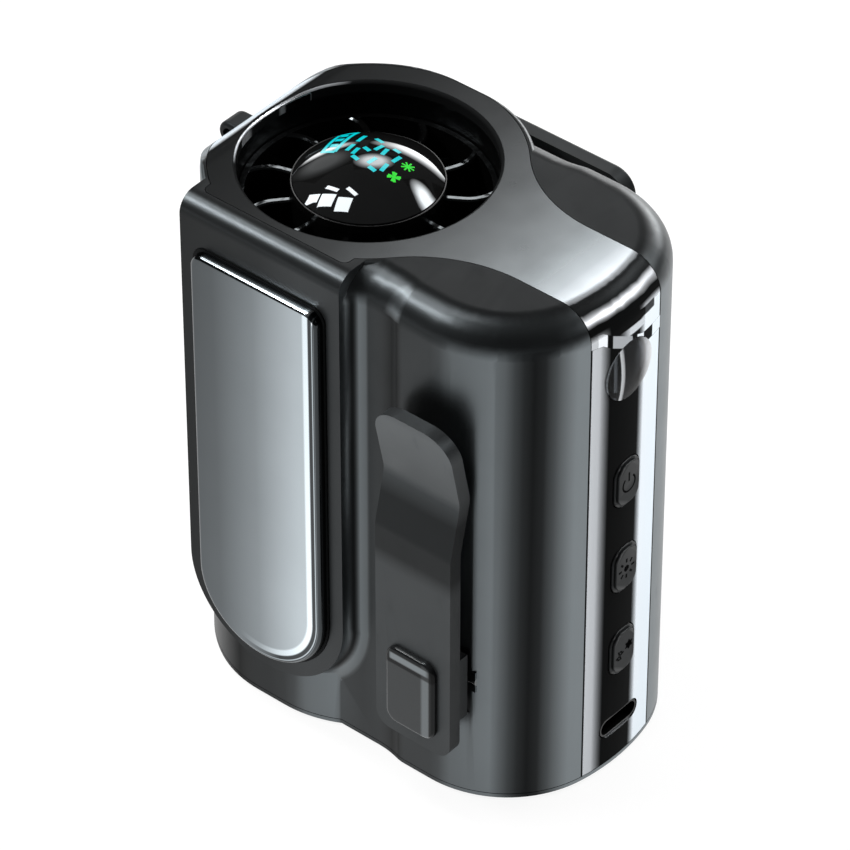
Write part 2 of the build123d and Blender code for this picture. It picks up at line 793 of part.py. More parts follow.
# Motor: can, stator, rotor, bearings and shaft
motor_inside = motor_radius - motor_wall
core_length = motor_length - 4 * motor_wall
core_bottom = motor_bottom + 2 * motor_wall
with BuildPart() as motor_can:
    with BuildSketch(Plane.XY.offset(motor_bottom)):
        Circle(motor_radius)
    extrude(amount=motor_length)
    chamfer(motor_can.faces().sort_by(Axis.Z)[-1].edges(), motor_wall / 2)
    with BuildSketch(Plane.XY.offset(motor_bottom + motor_wall)):
        Circle(motor_inside)
    extrude(amount=motor_length - 2 * motor_wall, mode=Mode.SUBTRACT)
    with BuildSketch(Plane.XY.offset(motor_bottom)):
        Circle(bearing_radius)
    extrude(amount=motor_length, mode=Mode.SUBTRACT)
save(motor_can.part, "motor_can")

with BuildPart() as motor_stator:
    with BuildSketch(Plane.XY.offset(core_bottom)):
        Circle(motor_inside)
        Circle(motor_inside - stator_thickness, mode=Mode.SUBTRACT)
    extrude(amount=core_length)
save(motor_stator.part, "motor_stator")

with BuildPart() as motor_rotor:
    with BuildSketch(Plane.XY.offset(core_bottom)):
        Circle(rotor_radius)
        Circle(shaft_radius, mode=Mode.SUBTRACT)
    extrude(amount=core_length)
save(motor_rotor.part, "motor_rotor")

with BuildPart() as motor_bearings:
    for bearing_bottom in (motor_bottom, motor_top - motor_wall):
        with BuildSketch(Plane.XY.offset(bearing_bottom)):
            Circle(bearing_radius)
            Circle(shaft_radius + running_gap, mode=Mode.SUBTRACT)
        extrude(amount=motor_wall)
save(motor_bearings.part, "motor_bearings")

shaft_bottom = impeller_bottom + 2 * impeller_hub_wall
with BuildPart() as fan_shaft:
    with BuildSketch(Plane.XY.offset(shaft_bottom)):
        Circle(shaft_radius)
    extrude(amount=motor_top - shaft_bottom)
save(fan_shaft.part, "fan_shaft")

# Curved blade section across the flow, on a plane square to the radius
def blade_section(radius, middle, blade_height, lean, bow, thickness):
    shift = blade_height / 2 * sin(radians(lean)) / cos(radians(lean))
    half = thickness / 2 / cos(radians(lean))
    top = blade_height / 2
    section_plane = Plane(origin=(radius, 0, middle), x_dir=(0, 1, 0), z_dir=(1, 0, 0))
    with BuildSketch(section_plane) as section:
        with BuildLine():
            ThreePointArc((-shift - half, -top), (bow - half, 0), (shift - half, top))
            Line((shift - half, top), (shift + half, top))
            ThreePointArc((shift + half, top), (bow + half, 0), (-shift + half, -top))
            Line((-shift + half, -top), (-shift - half, -top))
        make_face()
    return section.sketch


# Impeller: cup hub with a rounded nose, a boss on the shaft and swept blades
blade_middle = (impeller_top + impeller_bottom) / 2 + impeller_hub_wall
blade_height = impeller_height - 2 * impeller_hub_wall
tip_radius = opening_radius - impeller_tip_gap
with BuildPart() as blade:
    add(blade_section(impeller_hub_radius - impeller_hub_wall / 2, blade_middle,
                      blade_height, -blade_root_lean, 2 * blade_thickness, blade_thickness))
    add(blade_section(tip_radius + impeller_tip_gap, blade_middle,
                      blade_height * 0.8, -blade_tip_lean, 2 * blade_thickness, blade_thickness))
    loft(ruled=True)
    with BuildSketch(Plane.XY.offset(impeller_bottom)):
        Circle(tip_radius)
    extrude(amount=impeller_height, mode=Mode.INTERSECT)
with BuildPart() as impeller:
    with BuildSketch(Plane.XY.offset(impeller_bottom)):
        Circle(impeller_hub_radius)
    extrude(amount=impeller_height)
    fillet(impeller.faces().sort_by(Axis.Z)[0].edges(), 2 * impeller_hub_wall)
    with BuildSketch(Plane.XY.offset(impeller_bottom + 2 * impeller_hub_wall)):
        Circle(impeller_hub_radius - impeller_hub_wall)
        Circle(2 * shaft_radius, mode=Mode.SUBTRACT)
    extrude(amount=impeller_height, mode=Mode.SUBTRACT)
    with BuildSketch(Plane.XY.offset(shaft_bottom)):
        Circle(shaft_radius)
    extrude(amount=impeller_height, mode=Mode.SUBTRACT)
    with PolarLocations(0, blade_count):
        add(blade.part)
save(impeller.part, "impeller")

# Cooling plate with its rounded edge, and the dark gasket round it
with BuildPart() as cooling_plate:
    with BuildSketch(Plane.XZ.offset(plate_back)):
        add(u_outline(plate_half, plate_centre_z, plate_top, plate_corner))
    extrude(amount=plate_face - plate_back)
    fillet(cooling_plate.faces().sort_by(Axis.Y)[0].edges(), plate_round)
save(cooling_plate.part, "cooling_plate")

gasket_margin = plate_margin - running_gap
with BuildPart() as plate_gasket:
    with BuildSketch(Plane.XZ.offset(plate_back)):
        add(u_outline(plate_half + gasket_margin, plate_centre_z, plate_top + gasket_margin, plate_corner))
        with BuildSketch(mode=Mode.PRIVATE) as plate_room:
            add(u_outline(plate_half + running_gap, plate_centre_z, plate_top + running_gap, plate_corner))
        add(plate_room.sketch, mode=Mode.SUBTRACT)
    extrude(amount=plate_recess + gasket_margin / 2)
save(plate_gasket.part, "plate_gasket")

with BuildPart() as peltier_module:
    with BuildSketch(Plane.XZ.offset(module_back)):
        with Locations((0, module_centre_z)):
            Rectangle(module_width, module_height)
    extrude(amount=module_thickness)
save(peltier_module.part, "peltier_module")

with BuildPart() as thermal_pad:
    with BuildSketch(Plane.XZ.offset(sink_face)):
        with Locations((0, module_centre_z)):
            Rectangle(module_width, module_height)
    extrude(amount=pad_thickness)
save(thermal_pad.part, "thermal_pad")

with BuildPart() as heat_sink:
    with BuildSketch(Plane.XZ.offset(sink_face - sink_base)):
        with Locations((0, module_centre_z)):
            Rectangle(sink_width, sink_height)
    extrude(amount=sink_base)
    fin_step = (sink_width - sink_fin_thickness) / (sink_fin_count - 1)
    with BuildSketch(Plane.XZ.offset(sink_face - sink_base - sink_fin_length)):
        with Locations((0, module_centre_z)):
            with GridLocations(fin_step, 1, sink_fin_count, 1):
                Rectangle(sink_fin_thickness, sink_height)
    extrude(amount=sink_fin_length)
save(heat_sink.part, "heat_sink")

# Two round cells, their welded tabs and the holder
for cell_name, cell_side in (("front_cell", -1), ("back_cell", 1)):
    with BuildPart() as cell:
        with BuildSketch(Plane.XY.offset(cell_bottom)):
            with Locations((cell_x, cell_side * cell_y)):
                Circle(cell_radius)
        extrude(amount=cell_length)
        fillet(cell.edges().filter_by(GeomType.CIRCLE), wall / 3)
    save(cell.part, cell_name)

with BuildPart() as battery_tabs:
    with BuildSketch(Plane.XY.offset(cell_top)):
        with Locations((cell_x, 0)):
            Rectangle(tab_width, 2 * cell_y + tab_width)
    extrude(amount=tab_thickness)
    with BuildSketch(Plane.XY.offset(cell_bottom - tab_thickness)):
        with Locations((cell_x, -cell_y), (cell_x, cell_y)):
            Rectangle(tab_width, tab_width)
    extrude(amount=tab_thickness)
save(battery_tabs.part, "battery_tabs")

with BuildPart() as battery_holder:
    for plate_level in (holder_bottom, cell_top + tab_thickness):
        with BuildSketch(Plane.XY.offset(plate_level)):
            with Locations((cell_x, 0)):
                SlotCenterToCenter(2 * cell_y, 2 * (cell_radius + fit_gap), rotation=90)
        extrude(amount=holder_plate)
    with BuildSketch(Plane.XY.offset(holder_bottom)):
        with Locations((cell_x - holder_post_offset, 0), (cell_x + holder_post_offset, 0)):
            Circle(holder_post_radius)
    extrude(amount=cell_top + tab_thickness - holder_bottom)
save(battery_holder.part, "battery_holder")

# Main board on the strip's posts, with its switches
with BuildPart() as main_board:
    with BuildSketch(Plane.YZ.offset(board_x)):
        with Locations((0, (board_bottom + board_top) / 2)):
            RectangleRounded(2 * board_half, board_top - board_bottom, wall)
    extrude(amount=board_thickness)
save(main_board.part, "main_board")

flange_back = strip_back - fit_gap - button_flange_thickness
plunger_end = flange_back - button_travel - fit_gap
with BuildPart() as button_switches:
    for button_z in button_heights:
        with BuildSketch(Plane.YZ.offset(board_face)):
            with Locations((0, button_z)):
                Rectangle(switch_size, switch_size)
        extrude(amount=switch_body)
        with BuildSketch(Plane.YZ.offset(board_face)):
            with Locations((0, button_z)):
                Circle(switch_plunger)
        extrude(amount=plunger_end - board_face)
save(button_switches.part, "button_switches")

# Buttons with a hidden flange, a low rim and a raised face
for button_name, button_z in zip(button_names, button_heights):
    with BuildPart() as button:
        with BuildSketch(Plane.YZ.offset(flange_back)):
            with Locations((0, button_z)):
                flange_width = button_width + 2 * button_flange
                flange_height = button_height + 2 * button_flange
                RectangleRounded(flange_width, flange_height, button_corner + button_flange)
        extrude(amount=button_flange_thickness)
        with BuildSketch(Plane.YZ.offset(flange_back)):
            with Locations((0, button_z)):
                RectangleRounded(button_width, button_height, button_corner)
        extrude(amount=strip_x + button_rim_proud - flange_back)
        fillet(button.faces().sort_by(Axis.X)[-1].edges(), button_round)
        with BuildSketch(Plane.YZ.offset(strip_x)):
            with Locations((0, button_z)):
                face_width = button_width - 2 * button_rim
                face_height = button_height - 2 * button_rim
                RectangleRounded(face_width, face_height, button_corner - button_rim)
        extrude(amount=button_proud)
        fillet(button.faces().sort_by(Axis.X)[-1].edges(), button_round)
    save(button.part, button_name)

# Torch: lens in the strip, reflector behind it and the lamp on the board
lens_back = strip_x - torch_lens_rim
lens_edge = torch_radius - running_gap
with BuildPart() as torch_lens:
    with BuildSketch(Plane.XY):
        with BuildLine():
            Line((lens_back, 0), (lens_back, lens_edge))
            Line((lens_back, lens_edge), (strip_x, lens_edge))
            lens_bow = (lens_edge**2 + torch_lens_crown**2) / (2 * torch_lens_crown)
            RadiusArc((strip_x, lens_edge), (strip_x + torch_lens_crown, 0), lens_bow)
            Line((strip_x + torch_lens_crown, 0), (lens_back, 0))
        make_face()
    revolve(axis=Axis.X)
torch_lens.part.locate(Location((0, 0, torch_z)))
save(torch_lens.part, "torch_lens")

reflector_back = board_face + torch_led_thickness + fit_gap
reflector_rim = torch_radius - 2 * fit_gap
with BuildPart() as torch_reflector:
    with BuildSketch(Plane.XY):
        with BuildLine():
            Line((reflector_back, torch_throat), (reflector_back, torch_throat + duct_wall / 2))
            Line((reflector_back, torch_throat + duct_wall / 2), (lens_back - wall, reflector_rim))
            Line((lens_back - wall, reflector_rim), (lens_back, reflector_rim))
            Line((lens_back, reflector_rim), (lens_back, reflector_rim - duct_wall / 2))
            bowl = (reflector_rim**2 + (lens_back - reflector_back)**2) / reflector_rim
            RadiusArc((lens_back, reflector_rim - duct_wall / 2), (reflector_back, torch_throat), -bowl)
        make_face()
    revolve(axis=Axis.X)
torch_reflector.part.locate(Location((0, 0, torch_z)))
save(torch_reflector.part, "torch_reflector")

with BuildPart() as torch_led:
    with BuildSketch(Plane.YZ.offset(board_face)):
        with Locations((0, torch_z)):
            Rectangle(torch_led_size, torch_led_size)
    extrude(amount=torch_led_thickness)
save(torch_led.part, "torch_led")

# Charging port: hollow shell with a tongue, its mouth just inside the strip's face
port_length = strip_x - board_face - port_wall
with BuildPart() as usb_c_port:
    with BuildSketch(Plane.YZ.offset(board_face)):
        with Locations((0, port_z)):
            SlotOverall(port_width, port_height)
    extrude(amount=port_length)
    with BuildSketch(Plane.YZ.offset(board_face + port_wall)):
        with Locations((0, port_z)):
            SlotOverall(port_width - 2 * port_wall, port_height - 2 * port_wall)
    extrude(amount=port_length, mode=Mode.SUBTRACT)
    with BuildSketch(Plane.YZ.offset(board_face)):
        with Locations((0, port_z)):
            Rectangle(port_width - port_height + port_wall, port_tongue)
    extrude(amount=port_length - 2 * port_wall - port_tongue)
save(usb_c_port.part, "usb_c_port")

# Front clip arm: knee, dip and flared tip, with the block that carries its knuckle
with BuildPart() as clip_arm:
    with BuildSketch(Plane.YZ.offset(arm_x - arm_width / 2)) as arm_side:
        with BuildLine():
            dip_front = -(arm_front - arm_dip)
            tip_front = dip_front - arm_flare
            Polyline(
                (-arm_front, arm_bottom),
                (-arm_front, arm_knee),
                (dip_front, arm_bend),
                (tip_front, arm_top),
                (tip_front + arm_thickness, arm_top),
                (dip_front + arm_thickness, arm_bend),
                (-arm_back, arm_knee),
                (-arm_back, arm_bottom),
                close=True,
            )
        make_face()
        knees = arm_side.vertices().filter_by(lambda v: arm_knee - wall < v.Y < arm_bend + wall)
        fillet(knees, 2 * arm_thickness)
    extrude(amount=arm_width)
    with BuildSketch(Plane.XZ.offset(lobe_half_depth)) as arm_face:
        with Locations((arm_x, (arm_bottom + arm_top) / 2)):
            Rectangle(arm_width, arm_top - arm_bottom)
        fillet(arm_face.vertices().group_by(Axis.Y)[-1], arm_corner)
        fillet(arm_face.vertices().group_by(Axis.Y)[0], arm_foot_corner)
    extrude(amount=2 * arm_front, mode=Mode.INTERSECT)
    with BuildSketch(Plane.XZ.offset(lobe_half_depth - block_reach)):
        with Locations((arm_x, arm_pin_z)):
            Rectangle(2 * block_half, block_top - block_bottom)
    extrude(amount=arm_gap + block_reach)
    with BuildSketch(Plane.YZ.offset(arm_x - knuckle_half)):
        with Locations((arm_pin_y, arm_pin_z)):
            Circle(knuckle_radius)
        web = lobe_half_depth - block_reach + arm_pin_y
        with Locations((arm_pin_y - web / 2, arm_pin_z)):
            Rectangle(web, 2 * knuckle_radius)
    extrude(amount=2 * knuckle_half)
    with BuildSketch(Plane.YZ.offset(arm_x - knuckle_half)):
        with Locations((arm_pin_y, arm_pin_z)):
            Circle(arm_pin_radius + running_gap)
    extrude(amount=2 * knuckle_half, mode=Mode.SUBTRACT)
    with BuildSketch(Plane.YZ.offset(arm_x - spring_slot / 2)):
        with Locations((arm_pin_y, arm_pin_z)):
            Circle(knuckle_radius + fit_gap)
    extrude(amount=spring_slot, mode=Mode.SUBTRACT)
    with BuildSketch(Plane.XZ.offset(arm_front - thumb_seat)):
        with Locations((arm_x, thumb_z)):
            RectangleRounded(thumb_width, thumb_height, thumb_corner)
    extrude(amount=2 * thumb_seat, mode=Mode.SUBTRACT)
save(clip_arm.part, "clip_arm")

with BuildPart() as thumb_pad:
    with BuildSketch(Plane.XZ.offset(arm_front - thumb_seat)):
        with Locations((arm_x, thumb_z)):
            RectangleRounded(thumb_width, thumb_height, thumb_corner)
    extrude(amount=thumb_seat + thumb_proud)
    fillet(thumb_pad.faces().sort_by(Axis.Y)[0].edges(), thumb_round)
save(thumb_pad.part, "thumb_pad")

with BuildPart() as clip_pin:
    pin_half = knuckle_half + fit_gap + ear_width
    with BuildSketch(Plane.YZ.offset(arm_x - pin_half)):
        with Locations((arm_pin_y, arm_pin_z)):
            Circle(arm_pin_radius)
    extrude(amount=2 * pin_half)
save(clip_pin.part, "clip_pin")


# Coil spring round a hinge pin that lies along X
def coil_spring(x, y, z, pin_radius, length):
    coil_radius = pin_radius + running_gap + spring_wire
    coil_length = length - 2 * spring_wire
    with BuildPart() as spring:
        with BuildLine() as coil:
            Helix(
                pitch=coil_length / spring_turns,
                height=coil_length,
                radius=coil_radius,
                center=(x - coil_length / 2, y, z),
                direction=(1, 0, 0),
            )
        with BuildSketch(Plane(origin=coil.line @ 0, z_dir=coil.line % 0)):
            Rectangle(spring_wire, spring_wire)
        sweep(path=coil.line, is_frenet=True)
    return spring.part


save(coil_spring(arm_x, arm_pin_y, arm_pin_z, arm_pin_radius, spring_slot), "clip_spring")

# Belt clip: broad plate, knuckle near its top and a lip at its foot
with BuildPart() as belt_clip:
    with BuildSketch(Plane.XZ.offset(-belt_face)):
        with Locations((belt_x, (belt_bottom + belt_top) / 2)):
            RectangleRounded(belt_width, belt_top - belt_bottom, belt_corner)
    extrude(amount=-belt_thickness)
    fillet(belt_clip.faces().sort_by(Axis.Y)[-1].edges(), belt_edge_round)
    with BuildSketch(Plane.YZ.offset(belt_hinge_x - belt_knuckle_half)):
        with Locations((belt_pin_y, belt_hinge_z)):
            Circle(belt_knuckle_radius)
        with Locations(((belt_pin_y + belt_face) / 2, belt_hinge_z)):
            Rectangle(belt_face - belt_pin_y, 2 * belt_knuckle_radius)
    extrude(amount=2 * belt_knuckle_half)
    with BuildSketch(Plane.YZ.offset(belt_lip_x - belt_lip_width / 2)):
        with Locations((belt_face, belt_bottom + belt_lip_height)):
            Ellipse(belt_lip_reach, belt_lip_height / 2)
        with Locations((belt_face + belt_thickness, belt_bottom + belt_lip_height)):
            Rectangle(2 * belt_thickness, 2 * belt_lip_height, mode=Mode.SUBTRACT)
    extrude(amount=belt_lip_width)
    with BuildSketch(Plane.YZ.offset(belt_hinge_x - belt_knuckle_half)):
        with Locations((belt_pin_y, belt_hinge_z)):
            Circle(belt_pin_radius + running_gap)
    extrude(amount=2 * belt_knuckle_half, mode=Mode.SUBTRACT)
    with BuildSketch(Plane.YZ.offset(belt_hinge_x - spring_slot / 2)):
        with Locations((belt_pin_y, belt_hinge_z)):
            Circle(belt_knuckle_radius)
    extrude(amount=spring_slot, mode=Mode.SUBTRACT)
save(belt_clip.part, "belt_clip")

with BuildPart() as belt_clip_pin:
    belt_pin_half = belt_knuckle_half + fit_gap + belt_lug_width
    with BuildSketch(Plane.YZ.offset(belt_hinge_x - belt_pin_half)):
        with Locations((belt_pin_y, belt_hinge_z)):
            Circle(belt_pin_radius)
    extrude(amount=2 * belt_pin_half)
save(belt_clip_pin.part, "belt_clip_pin")

belt_spring = coil_spring(belt_hinge_x, belt_pin_y, belt_hinge_z, belt_pin_radius, spring_slot)
save(belt_spring, "belt_clip_spring")

# Lanyard loop, held in its slot by a wider root
with BuildPart() as lanyard_loop:
    with BuildSketch(Plane.XZ.offset(-loop_half)):
        with Locations((loop_x, loop_z)):
            Circle(loop_radius)
        root_length = end_x + loop_flange - loop_x
        with Locations((loop_x + root_length / 2, loop_z)):
            Rectangle(root_length, 2 * loop_radius)
    extrude(amount=2 * loop_half)
    rounded = lanyard_loop.edges().filter_by(
        lambda e: abs(e.center().Y) > loop_half - wall / 4 and e.center().X < end_x
    )
    fillet(rounded, loop_round)
    with BuildSketch(Plane.XZ.offset(-loop_half)):
        with Locations((loop_x, loop_z)):
            Circle(loop_hole_radius)
    extrude(amount=2 * loop_half, mode=Mode.SUBTRACT)
    with BuildSketch(Plane.XY.offset(loop_bottom)):
        with Locations((end_x + wall, 0)):
            Rectangle(loop_flange_thickness, 2 * (loop_half + loop_flange))
    extrude(amount=2 * loop_radius)
save(lanyard_loop.part, "lanyard_loop")

# Case screws in their wells
with BuildPart() as case_screws:
    with BuildSketch(Plane.XZ.offset(-screw_seat)):
        with Locations(*screw_places):
            Circle(screw_head_radius)
    extrude(amount=-screw_head)
    with BuildSketch(Plane.XZ.offset(screw_grip)):
        with Locations(*screw_places):
            Circle(screw_radius)
    extrude(amount=-(screw_grip + screw_seat))
save(case_screws.part, "case_screws")
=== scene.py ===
import json
from math import cos, pi, radians, sin, sqrt

import bpy
from mathutils import Matrix, Vector


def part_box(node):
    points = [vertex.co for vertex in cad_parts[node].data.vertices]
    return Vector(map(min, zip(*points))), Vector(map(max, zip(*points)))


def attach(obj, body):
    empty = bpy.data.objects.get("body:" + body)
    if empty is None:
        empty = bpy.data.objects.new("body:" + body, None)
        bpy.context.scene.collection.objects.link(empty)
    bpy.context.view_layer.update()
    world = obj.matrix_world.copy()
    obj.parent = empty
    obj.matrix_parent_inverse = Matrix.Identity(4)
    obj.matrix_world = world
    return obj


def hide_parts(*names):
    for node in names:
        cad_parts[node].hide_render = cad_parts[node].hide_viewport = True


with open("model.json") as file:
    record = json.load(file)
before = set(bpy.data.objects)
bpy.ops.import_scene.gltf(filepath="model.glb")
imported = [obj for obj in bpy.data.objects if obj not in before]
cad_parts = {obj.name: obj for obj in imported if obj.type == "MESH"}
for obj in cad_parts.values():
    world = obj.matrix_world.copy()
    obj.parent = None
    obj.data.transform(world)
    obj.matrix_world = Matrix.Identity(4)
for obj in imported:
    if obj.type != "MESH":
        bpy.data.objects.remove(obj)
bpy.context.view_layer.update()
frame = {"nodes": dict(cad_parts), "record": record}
print("frame loaded,", len(frame["nodes"]), "nodes")

mm = 0.001
record = frame["record"]
slotOfNode = {part["node"]: part["material_slot"] for part in record["subparts"]}
bodyOfNode = {node: body for body, nodes in record["behaviour"]["bodies"].items() for node in nodes}

# the camera looks down on the corner between the cooling plate and the buttons; its place is in
# millimetres, its near and far ends in metres
cameraSettings = {
    "place": (440.859, -512.144, 597.726), "azimuth": 40.0, "elevation": 39.5,
    "lens": 237.176, "sensor": 36.0, "near": 0.01, "far": 20,
}

bpy.ops.object.select_all(action="DESELECT")
bpy.ops.object.camera_add(
    location=[value * mm for value in cameraSettings["place"]],
    rotation=(radians(90 - cameraSettings["elevation"]), 0, radians(cameraSettings["azimuth"])))
camera = bpy.context.object
camera.name = "productCamera"
camera.data.lens = cameraSettings["lens"]
camera.data.sensor_width = cameraSettings["sensor"]
camera.data.clip_start = cameraSettings["near"]
camera.data.clip_end = cameraSettings["far"]
bpy.context.scene.camera = camera
bpy.context.scene.view_settings.view_transform = "Standard"
print("camera set")


# a colour of one brightness, tinted if asked
def grey(value, tint=(1, 1, 1)):
    return (value * tint[0], value * tint[1], value * tint[2], 1)


# node helpers for the finishes
def emptyMaterial(name):
    made = bpy.data.materials.new(name)
    made.use_nodes = True
    tree = made.node_tree
    tree.nodes.clear()
    return made, tree, tree.nodes.new("ShaderNodeOutputMaterial")


def newMaterial(name):
    made, tree, output = emptyMaterial(name)
    shader = tree.nodes.new("ShaderNodeBsdfPrincipled")
    tree.links.new(shader.outputs["BSDF"], output.inputs["Surface"])
    return made, tree, shader


# an input takes a plain value, or a link from another node's output
def feed(tree, value, entry):
    if isinstance(value, bpy.types.NodeSocket):
        tree.links.new(value, entry)
    else:
        entry.default_value = value


def noiseOn(tree, scale, detail, roughness=0.55, stretch=(1, 1, 1)):
    place = tree.nodes.new("ShaderNodeTexCoord")
    mapping = tree.nodes.new("ShaderNodeMapping")
    mapping.inputs["Scale"].default_value = stretch
    noise = tree.nodes.new("ShaderNodeTexNoise")
    noise.inputs["Scale"].default_value = scale
    noise.inputs["Detail"].default_value = detail
    noise.inputs["Roughness"].default_value = roughness
    tree.links.new(place.outputs["Object"], mapping.inputs["Vector"])
    tree.links.new(mapping.outputs["Vector"], noise.inputs["Vector"])
    return noise.outputs["Fac"]


# a stop is a position with a brightness or a whole colour
def rampOn(tree, source, stops):
    ramp = tree.nodes.new("ShaderNodeValToRGB")
    elements = ramp.color_ramp.elements
    coloured = [(at, tone if isinstance(tone, tuple) else grey(tone)) for at, tone in stops]
    elements[0].position, elements[0].color = coloured[0]
    elements[1].position, elements[1].color = coloured[-1]
    for at, colour in coloured[1:-1]:
        elements.new(at).color = colour
    tree.links.new(source, ramp.inputs["Fac"])
    return ramp.outputs["Color"]


def twoTones(tree, source, span, first, last):
    return rampOn(tree, source, [(span[0], first), (span[1], last)])


# ramps along one axis: of the surface's place in millimetres, or of the way it faces, -1 to 1
def placed(axis, low, high, stops):
    return "Object", axis, low, high, stops


def facing(axis, stops, low=0):
    return "Normal", axis, low, 1, stops


def alongAxis(tree, ramp):
    kind, axis, low, high, stops = ramp
    source = tree.nodes.new("ShaderNodeTexCoord" if kind == "Object" else "ShaderNodeNewGeometry")
    scale = mm if kind == "Object" else 1
    split = tree.nodes.new("ShaderNodeSeparateXYZ")
    span = tree.nodes.new("ShaderNodeMapRange")
    span.inputs["From Min"].default_value = low * scale
    span.inputs["From Max"].default_value = high * scale
    tree.links.new(source.outputs[kind], split.inputs["Vector"])
    tree.links.new(split.outputs[axis], span.inputs["Value"])
    return rampOn(tree, span.outputs["Result"], [((at - low) / (high - low), tone) for at, tone in stops])


# a sum, product or choice of two or more parts; a part is a ramp along an axis or a node's output
def join(tree, way, *parts):
    total, *others = [alongAxis(tree, part) if isinstance(part, tuple) else part for part in parts]
    for other in others:
        node = tree.nodes.new("ShaderNodeMath")
        node.operation = way
        tree.links.new(total, node.inputs[0])
        tree.links.new(other, node.inputs[1])
        total = node.outputs[0]
    return total


def mixOn(tree, way, amount, first, second):
    mix = tree.nodes.new("ShaderNodeMixRGB")
    mix.blend_type = way
    feed(tree, amount, mix.inputs["Fac"])
    feed(tree, first, mix.inputs["Color1"])
    feed(tree, second, mix.inputs["Color2"])
    return mix.outputs["Color"]


# what an input is linked to now
def sourceOf(entry):
    return entry.links[0].from_socket


# what a finish has unless its own settings say otherwise; depths are in millimetres
usualFinish = {
    "tint": (1, 1, 1), "mottleScale": 60, "mottleDetail": 3, "mottleSpan": (0.3, 0.7),
    "edgeWearAndHighlight": 0, "wearAndHighlightSpan": (0.515, 0.56),
    "glossScale": 140, "glossDetail": 4, "glossSpan": (0.25, 0.75), "glossSwing": 0.08,
    "scuff": 0.25, "scuffScale": 420, "scuffDetail": 5, "scuffRoughness": 0.6, "scuffSpan": (0.6, 0.8),
    "scuffStretch": (1, 1, 0.25),
    "metal": 0, "ior": 1.5, "specular": 0.5, "specularTint": (0.84, 0.945, 1.0, 1),
    "coat": 0, "coatRough": 0.03,
    "grain": 0, "grainScale": 4000, "grainDetail": 2, "grainRoughness": 0.5, "grainDepth": 0.02,
    "grainStretch": (1, 1, 1),
}


# moulded or polished finish: mottled colour, uneven gloss, faint scuffs, fine grain, and edges lightened by
# pointiness as worn edges, lightened so far on the buttons that there they are a painted rim highlight
def makeFinish(name, look):
    made, tree, shader = newMaterial(name)
    mottle = noiseOn(tree, look["mottleScale"], look["mottleDetail"])
    darker, lighter = grey(look["dark"], look["tint"]), grey(look["light"], look["tint"])
    colour = twoTones(tree, mottle, look["mottleSpan"], darker, lighter)
    # edges lighten with pointiness: wear, and on the buttons a painted rim highlight
    if look["edgeWearAndHighlight"]:
        pointiness = tree.nodes.new("ShaderNodeNewGeometry").outputs["Pointiness"]
        edges = twoTones(tree, pointiness, look["wearAndHighlightSpan"], 0, look["edgeWearAndHighlight"])
        colour = mixOn(tree, "ADD", 1, colour, edges)
    tree.links.new(colour, shader.inputs["Base Color"])
    shine = noiseOn(tree, look["glossScale"], look["glossDetail"])
    smoothest = look["rough"] * (1 - look["glossSwing"])
    roughest = look["rough"] * (1 + look["glossSwing"])
    gloss = twoTones(tree, shine, look["glossSpan"], smoothest, roughest)
    scratch = noiseOn(tree, look["scuffScale"], look["scuffDetail"], look["scuffRoughness"],
                      look["scuffStretch"])
    scuffs = twoTones(tree, scratch, look["scuffSpan"], 0, look["rough"] * look["scuff"])
    tree.links.new(join(tree, "ADD", gloss, scuffs), shader.inputs["Roughness"])
    shader.inputs["Metallic"].default_value = look["metal"]
    shader.inputs["IOR"].default_value = look["ior"]
    shader.inputs["Specular IOR Level"].default_value = look["specular"]
    if not look["metal"]:
        shader.inputs["Specular Tint"].default_value = look["specularTint"]
    shader.inputs["Coat Weight"].default_value = look["coat"]
    shader.inputs["Coat Roughness"].default_value = look["coatRough"]
    if look["grain"]:
        fine = noiseOn(tree, look["grainScale"], look["grainDetail"], look["grainRoughness"],
                       look["grainStretch"])
        bump = tree.nodes.new("ShaderNodeBump")
        bump.inputs["Strength"].default_value = look["grain"]
        bump.inputs["Distance"].default_value = look["grainDepth"] * mm
        tree.links.new(fine, bump.inputs["Height"])
        tree.links.new(bump.outputs["Normal"], shader.inputs["Normal"])
    made.diffuse_color = lighter
    return made, tree, shader


